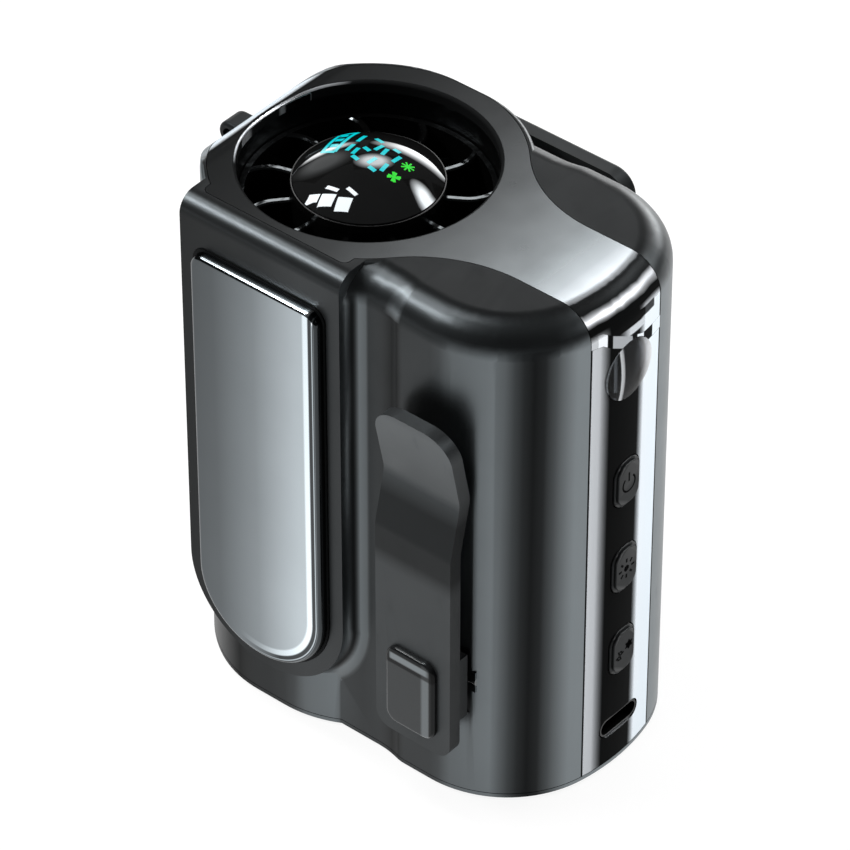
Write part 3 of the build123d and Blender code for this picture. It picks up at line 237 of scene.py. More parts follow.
finishSettings = {
    "satinHousing": {"dark": 0.006, "light": 0.008, "tint": (0.93, 1.0, 1.03), "rough": 0.34, "ior": 2.0,
                     "grain": 0.25, "grainScale": 5200, "edgeWearAndHighlight": 0.004},
    "glossBand": {"dark": 0.008, "light": 0.010, "tint": (0.95, 1.0, 1.02), "rough": 0.26, "ior": 2.0,
                  "grain": 0.08, "grainScale": 5200, "scuff": 0.05},
    "polishedPlate": {"dark": 0.41, "light": 0.44, "tint": (0.9, 1.0, 1.06), "rough": 0.12, "metal": 1.0,
                      "grain": 0.03, "grainScale": 2500, "grainStretch": (1, 1, 0.05)},
    "darkGasket": {"dark": 0.002, "light": 0.004, "rough": 0.6, "grain": 0.3, "specular": 0.1},
    "guardBlack": {"dark": 0.001, "light": 0.002, "rough": 0.12, "specular": 0.6, "grain": 1.0,
                   "grainScale": 260, "grainDepth": 0.4},
    "domeBlack": {"dark": 0.004, "light": 0.006, "rough": 0.03, "specular": 0.6, "coat": 0.5,
                  "coatRough": 0.01},
    "ringGrey": {"dark": 0.004, "light": 0.008, "rough": 0.25, "metal": 0.6},
    "boardGreen": {"dark": 0.01, "light": 0.02, "tint": (0.3, 1.4, 0.5), "rough": 0.45},
    "ductBlack": {"dark": 0.0008, "light": 0.0015, "rough": 0.4, "grain": 0.2, "specular": 0.1},
    "groundSteel": {"dark": 0.5, "light": 0.58, "rough": 0.22, "metal": 1.0, "grain": 0.1},
    "portSteel": {"dark": 0.03, "light": 0.04, "rough": 0.3, "metal": 1.0, "grain": 0.1},
    "coreIron": {"dark": 0.12, "light": 0.18, "rough": 0.5, "metal": 1.0, "grain": 0.3},
    "whiteCeramic": {"dark": 0.68, "light": 0.75, "rough": 0.5},
    "softPad": {"dark": 0.25, "light": 0.3, "tint": (0.8, 1.0, 1.2), "rough": 0.7},
    "sinkAluminium": {"dark": 0.55, "light": 0.62, "rough": 0.3, "metal": 1.0, "grain": 0.15},
    "cellSleeve": {"dark": 0.05, "light": 0.06, "tint": (0.5, 1.0, 2.2), "rough": 0.3, "coat": 0.3},
    "innerPlastic": {"dark": 0.02, "light": 0.03, "rough": 0.5, "grain": 0.2},
    # the buttons' edge lightening, far brighter than their dark body, is a painted rim highlight
    "buttonSatin": {"dark": 0.014, "light": 0.018, "tint": (0.95, 1.0, 1.03), "rough": 0.4, "grain": 0.2,
                    "specular": 0.14, "edgeWearAndHighlight": 0.12},
    "clipSatin": {"dark": 0.012, "light": 0.015, "tint": (0.92, 1.0, 1.04), "rough": 0.42, "grain": 0.25,
                  "grainScale": 5200, "edgeWearAndHighlight": 0.008},
    "thumbGloss": {"dark": 0.012, "light": 0.015, "tint": (0.93, 1.0, 1.04), "rough": 0.16, "ior": 2.0,
                   "coat": 0.2},
    "reflectorChrome": {"dark": 0.1, "light": 0.14, "rough": 0.08, "metal": 1.0},
    "ledPhosphor": {"dark": 0.6, "light": 0.7, "tint": (1.0, 0.85, 0.3), "rough": 0.4},
    "iconBlack": {"dark": 0.0005, "light": 0.001, "rough": 0.5, "specular": 0.01},
}
finishes = {}
nodesOf = {}
for finishName, changes in finishSettings.items():
    finishes[finishName], tree, shader = makeFinish(finishName, usualFinish | changes)
    nodesOf[finishName] = (tree, shader)

# housing: painted sheen; its satin reflects more strongly by the way each face turns and where it lies, so
# it shows more sheen on the front, by the strip and on the top rolls
housingSheen = {
    "walls": facing("X", [(-1, 0.3), (-0.5, 0.12), (-0.2, 0.03), (0, 0.135), (0.09, 0.22), (0.2, 0.53),
                          (0.4, 0.68), (0.52, 0.76), (0.58, 0.47), (0.645, 0.2), (0.7, 0.08), (0.755, 0.03),
                          (0.81, 0.06), (0.857, 0.25), (0.9, 0.6), (0.94, 1)], low=-1),
    "nearStrip": placed("X", -30, 60, [(-16, 0.35), (0, 0.6), (8, 1.1), (13, 1.05), (17, 0.85), (20, 1.0),
                                       (60, 1.0)]),
    "backward": facing("Y", [(0.25, 0), (0.38, 0.9)]),
    "buttonward": facing("X", [(0.5, 0), (0.7, 1)]),
    "upright": facing("Z", [(0, 1), (0.1, 0.8), (0.45, 0.05), (1, 0)]),
    "rolls": facing("Z", [(0, 0), (0.25, 0.04), (0.5, 0.25), (0.8, 0.25), (0.98, 0.028)]),
    "fanward": facing("X", [(-1, 1), (-0.25, 1), (-0.08, 0)], low=-1),
    "fanRoll": facing("Z", [(0.1, 0), (0.35, 0.9), (0.9, 0.9), (0.97, 0)]),
}


def shadeHousing(tree, shader, sheen):
    nearSide = join(tree, "MULTIPLY", sheen["walls"], sheen["nearStrip"])
    farSide = join(tree, "MULTIPLY", sheen["backward"], sheen["buttonward"])
    walls = join(tree, "MULTIPLY", join(tree, "MAXIMUM", nearSide, farSide), sheen["upright"])
    fanEnd = join(tree, "MULTIPLY", sheen["fanward"], sheen["fanRoll"])
    rolls = join(tree, "ADD", sheen["rolls"], fanEnd)
    # the painted sheen sets how strongly the satin reflects
    tree.links.new(join(tree, "ADD", walls, rolls), shader.inputs["Specular IOR Level"])


shadeHousing(*nodesOf["satinHousing"], housingSheen)

# clip: painted sheen and painted shade; the flared tip reflects brightly, while the bend under it and the
# side facing the buttons are dark
clipSheen = {
    "lengthwise": placed("Z", 0, 90, [(8, 0.4), (20, 0.52), (45, 0.55), (48, 0.16), (58, 0.16), (63, 0.85),
                                      (74, 1.15), (80, 0.15), (90, 0.1)]),
    "buttonward": facing("X", [(0.4, 1), (0.8, 0.35)]),
}


def shadeClip(tree, shader, sheen):
    # painted sheen by height, dimmed on faces turned toward the buttons
    level = join(tree, "MULTIPLY", sheen["lengthwise"], sheen["buttonward"])
    tree.links.new(level, shader.inputs["Specular IOR Level"])


shadeClip(*nodesOf["clipSatin"], clipSheen)

# thumb pad: painted highlights, a light band inside its right edge and one under its top edge
padSheen = {
    "rightHighlight": placed("X", 27, 37, [(34.2, 0.12), (34.7, 0.6), (35.7, 0.6), (36, 0.03)]),
    "underTop": placed("Z", 15, 31, [(26.9, 1), (27.2, 0.15)]),
    "topHighlight": placed("Z", 15, 31, [(27.8, 0), (28.1, 0.9), (29, 0.9), (29.3, 0)]),
    "topWidth": placed("X", 27, 37, [(28, 0), (28.4, 1), (35.2, 1), (36, 0)]),
}


def shadePad(tree, shader, sheen):
    right = join(tree, "MULTIPLY", sheen["rightHighlight"], sheen["underTop"])
    top = join(tree, "MULTIPLY", sheen["topHighlight"], sheen["topWidth"])
    tree.links.new(join(tree, "MAXIMUM", right, top), shader.inputs["Specular IOR Level"])


shadePad(*nodesOf["thumbGloss"], padSheen)

# band: painted sheen on the satin panel, stronger toward the buttons, and painted reflections: mirrored
# rolls at both ends, and a strip that is black down its middle and bright down both sides, with a curved
# row of window panes, a light bar and a dark bar reflected over the torch
bandSettings = {
    "reflectionColour": (0.86, 0.89, 0.93, 1),
    "panel": placed("X", -30, 60, [(-26, 0.0), (-5, 0.01), (10, 0.03), (21, 0.085), (27, 0.15), (35, 0.3),
                                   (41, 0.6), (46, 1.0)]),
    "panelTop": facing("Z", [(0, 0.003), (0.5, 0.003), (0.965, 0.02), (0.99, 1.0), (1, 1)]),
    "sideReflections": placed("Y", -9, 9, [(-8.0, 0.0), (-7.9, 0.75), (-6.4, 0.7), (-4.3, 0.0), (2.2, 0.0),
                                     (3.7, 1.0), (7.9, 1.0), (8.0, 0.0)]),
    "buttonward": facing("X", [(0.3, 0), (0.55, 1)]),
    "upright": facing("Z", [(0.1, 1), (0.3, 0)]),
    "paneDrop": placed("Y", -9, 9, [(-9, 0), (-5.9, 0.05), (-4, 0.19), (0.45, 0.44), (3.2, 0.55),
                                    (9, 0.56)]),
    "paneRise": placed("Z", 80, 90, [(80, 0), (90, 1)]),
    "paneReflectionRow": [(0.63, 0), (0.64, 1), (0.86, 1), (0.87, 0)],
    "paneReflections": placed("Y", -9, 9, [(-6.9, 0.75), (-6.8, 1), (-5.1, 1), (-5.0, 0), (-4.0, 0), (-3.9, 0.6),
                                 (0.4, 0.6), (0.5, 0), (1.6, 0), (1.7, 1), (3.3, 1), (3.4, 0), (5.7, 0),
                                 (5.8, 1), (9, 1)]),
    "brightReflectionBarWidth": placed("Y", -9, 9, [(-2.5, 0), (0, 0.8), (7.9, 0.8), (8, 0)]),
    "brightReflectionBarHeight": placed("Z", 80, 90, [(84.5, 0), (84.7, 1), (86, 1), (86.2, 0)]),
    "darkReflectionBarWidth": placed("Y", -9, 9, [(2, 0), (2.2, 1), (6, 1), (6.2, 0)]),
    "darkReflectionBarHeight": placed("Z", 80, 90, [(86.2, 0), (86.4, 0.9), (87.7, 0.9), (87.9, 0)]),
    "fanEnd": placed("X", -30, 60, [(-19, 0.9), (-15, 0)]),
    "fanRoll": facing("Z", [(0.38, 0), (0.45, 1), (0.85, 1), (0.93, 0)]),
    "stripEnd": placed("X", -30, 60, [(30, 0), (38, 1)]),
    "stripRoll": facing("Z", [(0.48, 0), (0.61, 1), (0.66, 1), (0.8, 0)]),
    "panelFlat": facing("Z", [(0.972, 0), (0.99, 1)]),
    "panelEnd": placed("X", -30, 60, [(37, 0), (42, 0.12), (46, 0.45)]),
    "roughTimes": facing("Z", [(0, 0.2), (0.15, 0.2), (0.35, 1.1), (0.85, 1.1), (0.97, 1.0), (1, 1.0)]),
}


def shadeBand(tree, shader, look):
    # painted sheen on the panel, stronger toward the buttons
    panel = join(tree, "MULTIPLY", look["panel"], look["panelTop"])
    tree.links.new(panel, shader.inputs["Specular IOR Level"])
    # the row of painted pane reflections lies where its rise up the strip and its drop across it add up to
    # the right sum
    paneReflectionRow = rampOn(tree, join(tree, "ADD", look["paneDrop"], look["paneRise"]), look["paneReflectionRow"])
    paneReflections = join(tree, "MULTIPLY", paneReflectionRow, look["paneReflections"])
    brightReflectionBar = join(tree, "MULTIPLY", look["brightReflectionBarWidth"], look["brightReflectionBarHeight"])
    darkReflectionBar = join(tree, "MULTIPLY", look["darkReflectionBarWidth"], look["darkReflectionBarHeight"])
    sides = join(tree, "SUBTRACT", look["sideReflections"], join(tree, "MAXIMUM", paneReflectionRow, darkReflectionBar))
    strip = join(tree, "MULTIPLY", join(tree, "MAXIMUM", sides, paneReflections, brightReflectionBar),
                 join(tree, "MULTIPLY", look["buttonward"], look["upright"]))
    fanRoll = join(tree, "MULTIPLY", look["fanEnd"], look["fanRoll"])
    stripRoll = join(tree, "MULTIPLY", look["stripEnd"], look["stripRoll"])
    panelEnd = join(tree, "MULTIPLY", look["panelFlat"], look["panelEnd"])
    paintedReflection = join(tree, "MAXIMUM", strip, fanRoll, stripRoll, panelEnd)
    # the painted reflections make the band metal where they lie, in the reflection colour
    tree.links.new(paintedReflection, shader.inputs["Metallic"])
    colour = mixOn(tree, "MIX", paintedReflection, sourceOf(shader.inputs["Base Color"]), look["reflectionColour"])
    tree.links.new(colour, shader.inputs["Base Color"])
    rough = join(tree, "MULTIPLY", sourceOf(shader.inputs["Roughness"]), look["roughTimes"])
    tree.links.new(rough, shader.inputs["Roughness"])


shadeBand(*nodesOf["glossBand"], bandSettings)

# plate: painted reflection multiplied into its colour, one long one, darker toward the fan end and toward
# the top, with painted reflection bands along its rounded rim and a painted highlight where the rim turns
# toward the buttons
plateSettings = {
    "lengthwise": placed("X", -13, 13, [(-13, 0.24), (-8, 0.3), (0, 0.63), (8, 1.3), (13, 1.6)]),
    "sideward": placed("X", -12.6, 12.6, [(-12.6, 1), (0, 0), (12.6, 1)]),
    "downward": placed("Z", 10.8, 23.4, [(10.8, 1), (23.4, 0)]),
    "rimReflectionBands": [(0.6, 1), (0.64, 1.8), (0.74, 1.8), (0.77, 0.1), (0.85, 0.1), (0.87, 1.3), (0.89, 0.12),
                 (1, 0.12)],
    "rimSide": placed("X", -13, 13, [(-4, 0), (4, 1)]),
    "roundedEdgeHighlight": facing("X", [(0, 1), (0.2, 1), (0.3, 3.0), (0.4, 1.0), (1, 0.5)]),
    "upward": placed("Z", 0, 90, [(20, 1.0), (50, 0.9), (84, 0.75)]),
}


def shadePlate(tree, shader, look):
    across = alongAxis(tree, look["sideward"])
    down = alongAxis(tree, look["downward"])
    outward = join(tree, "ADD", join(tree, "MULTIPLY", across, across), join(tree, "MULTIPLY", down, down))
    rimSide = alongAxis(tree, look["rimSide"])
    rim = mixOn(tree, "MIX", rimSide, grey(1), rampOn(tree, outward, look["rimReflectionBands"]))
    # painted reflection and painted highlight, multiplied into the metal's colour
    fade = join(tree, "MULTIPLY", look["lengthwise"], rim, look["roundedEdgeHighlight"], look["upward"])
    colour = mixOn(tree, "MULTIPLY", 1, sourceOf(shader.inputs["Base Color"]), fade)
    tree.links.new(colour, shader.inputs["Base Color"])


shadePlate(*nodesOf["polishedPlate"], plateSettings)

# smoked torch lens with painted reflections of the strip's bands, made metal where they lie, a little
# rougher where it is smudged
lensSettings = {
    "colour": (0.05, 0.055, 0.06, 1), "reflectionColour": (0.85, 0.87, 0.9, 1), "ior": 1.12, "rough": 0.01,
    "smudged": 0.025, "smudgeScale": 300, "smudgeDetail": 3, "smudgeSpan": (0.4, 0.7),
    "paintedReflection": placed("Y", -6, 6, [(-5.6, 0.1), (-5.2, 0.01), (-2.7, 0.02), (-2.45, 0.75), (-1.9, 0.6),
                                  (-1.6, 0.05), (1.6, 0.02), (3.4, 0.6), (5.2, 0.95)]),
}


def makeLensGlass(name, look):
    made, tree, shader = newMaterial(name)
    shader.inputs["Transmission Weight"].default_value = 1
    shader.inputs["IOR"].default_value = look["ior"]
    smudge = noiseOn(tree, look["smudgeScale"], look["smudgeDetail"])
    rough = twoTones(tree, smudge, look["smudgeSpan"], look["rough"], look["smudged"])
    tree.links.new(rough, shader.inputs["Roughness"])
    # painted reflection bands across the lens
    paintedReflection = alongAxis(tree, look["paintedReflection"])
    tree.links.new(paintedReflection, shader.inputs["Metallic"])
    colour = mixOn(tree, "MIX", paintedReflection, look["colour"], look["reflectionColour"])
    tree.links.new(colour, shader.inputs["Base Color"])
    return made


# lit marks glow a little unevenly
glowSettings = {
    "colours": {"cyanGlow": (0.0, 0.62, 0.68), "greenGlow": (0.05, 0.78, 0.03)},
    "strength": 1.0, "dimmed": 0.9, "unevenScale": 900, "unevenDetail": 2, "unevenSpan": (0.3, 0.7),
    "face": (0, 0.02, 0.02, 1), "rough": 0.2,
}


def makeGlow(name, colour, look):
    made, tree, shader = newMaterial(name)
    uneven = noiseOn(tree, look["unevenScale"], look["unevenDetail"])
    tone = twoTones(tree, uneven, look["unevenSpan"], grey(look["dimmed"], colour), grey(1, colour))
    tree.links.new(tone, shader.inputs["Emission Color"])
    shader.inputs["Base Color"].default_value = look["face"]
    shader.inputs["Emission Strength"].default_value = look["strength"]
    shader.inputs["Roughness"].default_value = look["rough"]
    made.diffuse_color = grey(1, colour)
    return made


finishes["clearLens"] = makeLensGlass("clearLens", lensSettings)
for glowName, colour in glowSettings["colours"].items():
    finishes[glowName] = makeGlow(glowName, colour, glowSettings)

finishOfSlot = {
    "housing": "satinHousing", "band": "glossBand", "plate": "polishedPlate", "gasket": "darkGasket",
    "guard": "guardBlack", "dome": "domeBlack", "ring": "ringGrey", "board": "boardGreen",
    "display": "domeBlack", "duct": "ductBlack", "impeller": "ductBlack", "steel": "groundSteel",
    "iron": "coreIron", "ceramic": "whiteCeramic", "pad": "softPad", "aluminium": "sinkAluminium",
    "cell": "cellSleeve", "tab": "groundSteel", "inner_plastic": "innerPlastic", "switch": "innerPlastic",
    "button": "buttonSatin", "lens": "clearLens", "reflector": "reflectorChrome", "led": "ledPhosphor",
    "clip": "clipSatin", "thumb": "thumbGloss",
}
finishOfNode = {"usb_c_port": "portSteel"}
for nodeName, node in frame["nodes"].items():
    finishName = finishOfNode.get(nodeName, finishOfSlot[slotOfNode[nodeName]])
    node.data.materials.clear()
    node.data.materials.append(finishes[finishName])
print("finishes made,", len(finishes))

# copies of CAD forms with joined points and smooth shading, shown in their place; points join
# within this many millimetres, edges over this many degrees stay sharp, and large faces lead the
# shading by this weight
smoothSettings = {
    "joinWithin": 0.004, "sharpOver": 28, "weight": 100,
    "nodes": ["front_shell", "back_shell", "base_cover", "centre_band", "cooling_plate", "vane_guard",
              "display_dome", "dome_ring", "fan_duct", "impeller", "torch_lens", "torch_reflector",
              "usb_c_port", "power_button", "light_button", "cooling_button", "clip_arm", "thumb_pad",
              "belt_clip", "lanyard_loop"],
}


def smoothForm(nodeName):
    mesh = frame["nodes"][nodeName].data.copy()
    piece = bpy.data.objects.new(nodeName + "_form", mesh)
    bpy.context.scene.collection.objects.link(piece)
    bpy.ops.object.select_all(action="DESELECT")
    piece.select_set(True)
    bpy.context.view_layer.objects.active = piece
    if mesh.has_custom_normals:
        bpy.ops.mesh.customdata_custom_splitnormals_clear()
    bpy.ops.object.mode_set(mode="EDIT")
    bpy.ops.mesh.select_all(action="SELECT")
    bpy.ops.mesh.remove_doubles(threshold=smoothSettings["joinWithin"] * mm)
    bpy.ops.object.mode_set(mode="OBJECT")
    bpy.ops.object.shade_smooth_by_angle(angle=radians(smoothSettings["sharpOver"]))
    weighted = piece.modifiers.new("weighted", "WEIGHTED_NORMAL")
    weighted.weight = smoothSettings["weight"]
    weighted.keep_sharp = True
    bpy.ops.object.modifier_apply(modifier="weighted")
    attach(piece, bodyOfNode[nodeName])
    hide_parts(nodeName)


for nodeName in smoothSettings["nodes"]:
    smoothForm(nodeName)
print("smooth forms made,", len(smoothSettings["nodes"]))


# thin bars laid on a node; each bar is two ends and the way the surface faces, in millimetres
def barPiece(name, nodeName, bars, width, thickness, finish):
    bpy.ops.object.select_all(action="DESELECT")
    bpy.ops.mesh.primitive_cube_add(size=1)
    piece = bpy.context.object
    piece.name = name
    bpy.ops.object.mode_set(mode="EDIT")
    bpy.ops.mesh.select_all(action="SELECT")
    bpy.ops.mesh.delete(type="VERT")  # the first cube gives only an empty mesh for the bars
    for start, end, outward in bars:
        along = (end - start).normalized()
        across = outward.normalized().cross(along).normalized()
        turn = Matrix((along, across, along.cross(across))).transposed().to_euler()
        bpy.ops.mesh.primitive_cube_add(
            size=1, location=(start + end) / 2 * mm, rotation=turn,
            scale=((end - start).length * mm, width * mm, thickness * mm))
    bpy.ops.mesh.select_all(action="SELECT")
    bpy.ops.mesh.normals_make_consistent(inside=False)
    bpy.ops.object.mode_set(mode="OBJECT")
    piece.data.materials.append(finishes[finish])
    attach(piece, bodyOfNode[nodeName])


# marks are drawn flat, in millimetres, each from one point to another; turns are in degrees
def rayMarks(x, y, inner, outer, turns):
    return [(x + inner * cos(a), y + inner * sin(a), x + outer * cos(a), y + outer * sin(a))
            for a in (radians(turn) for turn in turns)]


def ringMarks(x, y, radius, first, last, count):
    angles = [radians(first + (last - first) * i / count) for i in range(count + 1)]
    return [(x + radius * cos(a), y + radius * sin(a), x + radius * cos(b), y + radius * sin(b))
            for a, b in zip(angles, angles[1:])]


# the lit marks follow the dome as chains of short bars, and stand proud of it but for its very top;
# the rise is the height of the dome's cap over its foot, in millimetres as the rest
domeSettings = {"rise": 3.4, "lift": 0.02, "thickness": 0.03, "step": 0.5}
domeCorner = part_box("display_dome")[1]
domeFoot, domeTop = domeCorner[0] / mm, domeCorner[2] / mm
domeRadius = (domeFoot**2 + domeSettings["rise"]**2) / (2 * domeSettings["rise"])
domeCentre = Vector((0, 0, domeTop - domeRadius))


def onDome(x, y):
    drop = domeRadius - sqrt(domeRadius**2 - x * x - y * y)
    lift = min(domeSettings["lift"], drop) - domeSettings["thickness"] / 2
    return Vector((x, y, domeTop - drop + lift))


def litPiece(name, marks, width, glow):
    bars = []
    for x0, y0, x1, y1 in marks:
        steps = 1 + int(sqrt((x1 - x0)**2 + (y1 - y0)**2) / domeSettings["step"])
        points = [onDome(x0 + (x1 - x0) * i / steps, y0 + (y1 - y0) * i / steps)
                  for i in range(steps + 1)]
        bars += [(start, end, (start + end) / 2 - domeCentre) for start, end in zip(points, points[1:])]
    barPiece(name, "display_module", bars, width, domeSettings["thickness"], glow)


digitSettings = {
    "width": 0.68,
    "one": [(-4.95, 3.3, -5.6, 5.9), (-4.4, 0.1, -4.75, 2.2)],
    "two": [(-3.5, 5.9, -1.7, 5.4), (-1.0, 2.7, -1.0, 4.6), (-2.8, 2.3, -1.4, 1.9), (-3.0, -0.2, -3.3, 1.6),
            (-2.7, -0.6, -1.2, -1.0)],
    "zero": [(0.65, 2.4, 0.15, 4.3), (0.7, 5.1, 2.0, 5.05), (2.9, 2.2, 2.8, 4.2), (0.5, -0.7, 0.6, 1.1),
             (1.1, -1.2, 2.5, -1.35), (3.1, -0.7, 2.75, 1.2)],
}
litPiece("litDigits", digitSettings["one"] + digitSettings["two"] + digitSettings["zero"],
         digitSettings["width"], "cyanGlow")

batterySettings = {
    "width": 0.62,
    "marks": [(-5.9, -0.9, -8.3, 7.4), (-8.3, 7.4, -10.0, 5.2), (-9.9, 4.9, -7.9, -1.6),
              (-8.1, -1.5, -5.9, -0.9), (-8.6, 7.2, -9.6, 6.2)],
}
litPiece("litBattery", batterySettings["marks"], batterySettings["width"], "cyanGlow")

cellSettings = {
    "width": 1.05,
    "marks": [(-8.0, 0.5, -6.9, 0.9), (-8.7, 2.6, -7.6, 3.0), (-9.3, 4.5, -8.3, 5.0)],
}
litPiece("litCells", cellSettings["marks"], cellSettings["width"], "cyanGlow")

# each ray of the snow mark crosses its middle
snowSettings = {"width": 0.27, "x": 5.0, "y": 3.3, "reach": 1.05, "turns": (10, 55, 100, 145)}
snowMarks = rayMarks(snowSettings["x"], snowSettings["y"], -snowSettings["reach"], snowSettings["reach"],
                     snowSettings["turns"])
litPiece("litSnow", snowMarks, snowSettings["width"], "greenGlow")

# each petal is two bars, a stem and a leaf that leans a little further round; both go from one
# distance to another
fanSettings = {"width": 0.42, "x": 5.2, "y": -0.2, "turns": (20, 110, 200, 290), "lean": 24,
               "stem": (0, 0.95), "leaf": (0.4, 1.05)}
leafTurns = [turn + fanSettings["lean"] for turn in fanSettings["turns"]]
fanMarks = rayMarks(fanSettings["x"], fanSettings["y"], *fanSettings["stem"], fanSettings["turns"])
fanMarks += rayMarks(fanSettings["x"], fanSettings["y"], *fanSettings["leaf"], leafTurns)
litPiece("litFan", fanMarks, fanSettings["width"], "greenGlow")
print("display lit")

# dark icons let into the button faces, a hair proud of them, drawn from the middle of each button
iconSettings = {"thickness": 0.03, "lift": 0.01}


def iconPiece(name, nodeName, marks, width):
    low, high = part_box(nodeName)
    x = high[0] / mm + iconSettings["lift"] - iconSettings["thickness"] / 2
    middle = (low[2] + high[2]) / 2 / mm
    bars = [(Vector((x, y0, middle + z0)), Vector((x, y1, middle + z1)), Vector((1, 0, 0)))
            for y0, z0, y1, z1 in marks]
    barPiece(name, nodeName, bars, width, iconSettings["thickness"], "iconBlack")


powerSettings = {
    "width": 0.34,
    "ring": {"x": 0, "y": -0.1, "radius": 1.45, "first": 130, "last": 410, "count": 18},
    "stroke": (0, 0.3, 0, 2.0),
}
powerMarks = ringMarks(**powerSettings["ring"]) + [powerSettings["stroke"]]
iconPiece("powerIcon", "power_button", powerMarks, powerSettings["width"])

sunSettings = {
    "width": 0.391,
    "ring": {"x": 0, "y": 0, "radius": 0.42, "first": 0, "last": 360, "count": 10},
    "rays": {"x": 0, "y": 0, "inner": 1.15, "outer": 1.9, "turns": range(90, 450, 45)},
    "fill": (-0.4, 0, 0.4, 0),
}
sunMarks = ringMarks(**sunSettings["ring"]) + rayMarks(**sunSettings["rays"]) + [sunSettings["fill"]]
iconPiece("lightIcon", "light_button", sunMarks, sunSettings["width"])

# a flake with a ring round its middle, and a fan of four blades, two of them with a curved tip
coolSettings = {
    "width": 0.34,
    "flake": {"x": 1.15, "y": 0.55, "inner": 0.0, "outer": 0.95, "turns": range(30, 390, 60)},
    "flakeRing": {"x": 1.15, "y": 0.55, "radius": 0.6, "first": 0, "last": 360, "count": 6},
    "blades": {"x": -1.05, "y": -0.5, "inner": 0.1, "outer": 1.0, "turns": range(20, 380, 90)},
    "upperTip": {"x": -1.05, "y": -0.5, "radius": 0.75, "first": 40, "last": 90, "count": 2},
    "lowerTip": {"x": -1.05, "y": -0.5, "radius": 0.75, "first": 220, "last": 270, "count": 2},
}
coolMarks = rayMarks(**coolSettings["flake"]) + ringMarks(**coolSettings["flakeRing"])
coolMarks += rayMarks(**coolSettings["blades"])
coolMarks += ringMarks(**coolSettings["upperTip"]) + ringMarks(**coolSettings["lowerTip"])
iconPiece("coolingIcon", "cooling_button", coolMarks, coolSettings["width"])
print("icons made")

# pale floor, bright to the camera and in reflections, and able to take the object's soft shadow;
# its size is in metres, and it lies this many millimetres below the object's base
floorSettings = {"size": 3.0, "below": 0.05, "colour": 0.14, "glow": 0.9}


def makeFloorFinish(look):
    made, tree, output = emptyMaterial("paleFloor")
    paint = tree.nodes.new("ShaderNodeBsdfDiffuse")
    paint.inputs["Color"].default_value = grey(look["colour"])
    glow = tree.nodes.new("ShaderNodeEmission")
    glow.inputs["Color"].default_value = grey(look["glow"])
    rays = tree.nodes.new("ShaderNodeLightPath").outputs
    seen = join(tree, "ADD", rays["Is Camera Ray"], rays["Is Glossy Ray"], rays["Is Transmission Ray"])
    tree.links.new(seen, glow.inputs["Strength"])
    both = tree.nodes.new("ShaderNodeAddShader")
    tree.links.new(paint.outputs["BSDF"], both.inputs[0])
    tree.links.new(glow.outputs["Emission"], both.inputs[1])
    tree.links.new(both.outputs["Shader"], output.inputs["Surface"])
    return made


bpy.ops.object.select_all(action="DESELECT")
bpy.ops.mesh.primitive_plane_add(size=floorSettings["size"], location=(0, 0, -floorSettings["below"] * mm))
floor = bpy.context.object
floor.name = "paleFloor"
floor.data.materials.append(makeFloorFinish(floorSettings))

# lamps and softboxes stand round this point and face it; their direction from it is in degrees,
# their distance and size are in metres
lightTarget = Vector((0.013, 0, 0.07))
usualLight = {"distance": 0.9, "mirrored": True}


def placeAndTurn(look):
    a, e = radians(look["azimuth"]), radians(look["elevation"])
    toward = Vector((cos(a) * cos(e), sin(a) * cos(e), sin(e)))
    return lightTarget + toward * look["distance"], toward.to_track_quat("Z", "Y").to_euler()


lampSettings = {
    "overhead": {"azimuth": -60, "elevation": 84, "size": (0.5, 0.5), "bright": 3, "distance": 1.0,
                 "mirrored": False},
    "frontLeft": {"azimuth": -140, "elevation": 46, "size": (0.34, 0.1), "bright": 36},
    "paneA": {"azimuth": -167, "elevation": 56.5, "size": (0.17, 0.17), "bright": 15},
    "paneB": {"azimuth": -160, "elevation": 70, "size": (0.2, 0.17), "bright": 15},
    "paneC": {"azimuth": 175, "elevation": 55, "size": (0.045, 0.16), "bright": 15},
    "paneD": {"azimuth": 164, "elevation": 68.5, "size": (0.045, 0.16), "bright": 15},
    "paneE": {"azimuth": -170, "elevation": 45.5, "size": (0.11, 0.13), "bright": 15},
}
for lampName, changes in lampSettings.items():
    look = usualLight | changes
    place, turn = placeAndTurn(look)
    bpy.ops.object.light_add(type="AREA", location=place, rotation=turn)
    lamp = bpy.context.object
    lamp.name = lampName
    lamp.data.shape = "RECTANGLE"
    lamp.data.size, lamp.data.size_y = look["size"]
    lamp.data.energy = look["bright"] * pi * look["size"][0] * look["size"][1]  # watts for that face
    lamp.visible_glossy = look["mirrored"]

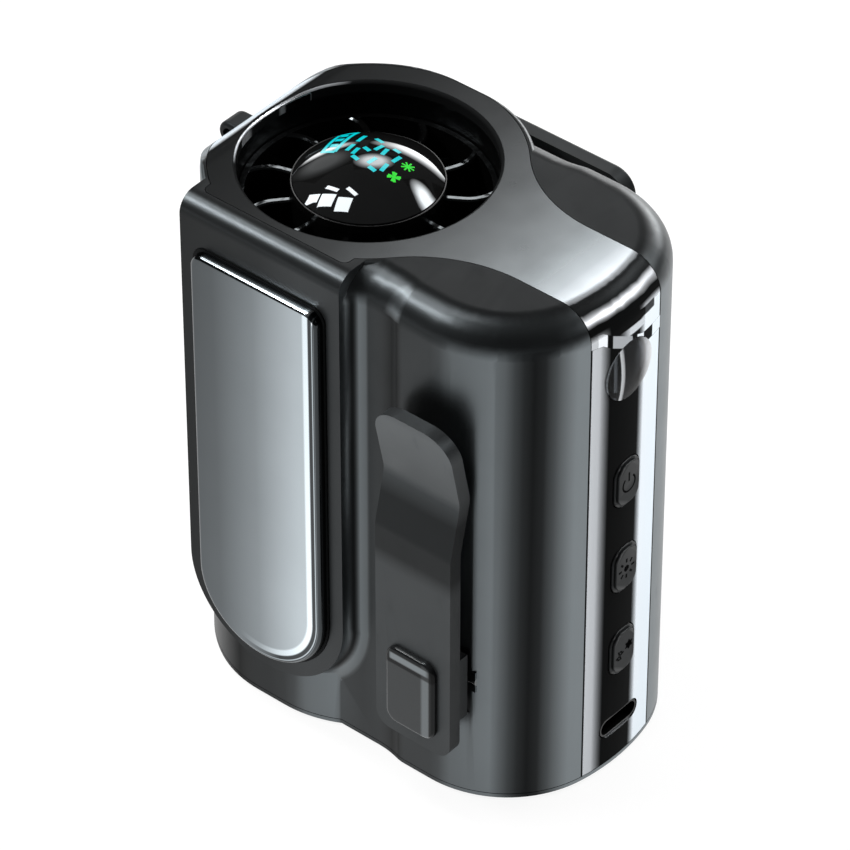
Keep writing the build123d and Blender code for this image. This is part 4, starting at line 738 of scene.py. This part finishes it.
# softboxes that fade out toward their rims, for the smooth glows on the dome, panel and rolls
softboxSettings = {
    "panelGlow": {"azimuth": 128, "elevation": 39, "size": (0.34, 0.34), "bright": 6.5},
    "rollBand": {"azimuth": 70, "elevation": 46, "size": (0.6, 0.26), "bright": 14},
    "stripBand": {"azimuth": 44, "elevation": 28, "size": (1.4, 0.42), "bright": 3},
    "rimGlow": {"azimuth": 104, "elevation": 10, "size": (0.9, 0.42), "bright": 8},
    "domeSheen": {"azimuth": 154, "elevation": 25, "size": (0.5, 0.5), "bright": 0.6},
    "edgeLow": {"azimuth": 147, "elevation": 9, "size": (0.4, 0.2), "bright": 5},
}
softFall = {"scale": (2, 2, 2), "stops": [(0.0, 0), (0.25, 0.3), (0.6, 1)]}


def makeSoftGlow(name, bright):
    made, tree, output = emptyMaterial(name)
    place = tree.nodes.new("ShaderNodeTexCoord")
    spread = tree.nodes.new("ShaderNodeMapping")
    spread.inputs["Scale"].default_value = softFall["scale"]
    fall = tree.nodes.new("ShaderNodeTexGradient")
    fall.gradient_type = "SPHERICAL"
    glow = tree.nodes.new("ShaderNodeEmission")
    glow.inputs["Strength"].default_value = bright
    tree.links.new(place.outputs["Object"], spread.inputs["Vector"])
    tree.links.new(spread.outputs["Vector"], fall.inputs["Vector"])
    tree.links.new(rampOn(tree, fall.outputs["Fac"], softFall["stops"]), glow.inputs["Color"])
    tree.links.new(glow.outputs["Emission"], output.inputs["Surface"])
    return made


for boxName, changes in softboxSettings.items():
    look = usualLight | changes
    place, turn = placeAndTurn(look)
    bpy.ops.object.select_all(action="DESELECT")
    bpy.ops.mesh.primitive_plane_add(size=1, location=place, rotation=turn)
    softbox = bpy.context.object
    softbox.name = boxName
    softbox.scale = (look["size"][0], look["size"][1], 1)
    softbox.data.materials.append(makeSoftGlow(boxName, look["bright"]))
    softbox.visible_camera = False
    softbox.visible_shadow = False

worldSettings = {"colour": (1, 1, 1, 1), "bright": 0.04}
world = bpy.data.worlds.new("studio")
bpy.context.scene.world = world
world.use_nodes = True
sky = world.node_tree.nodes["Background"]
sky.inputs["Color"].default_value = worldSettings["colour"]
sky.inputs["Strength"].default_value = worldSettings["bright"]
print("stage and lamps set")

bpy.context.view_layer.update()
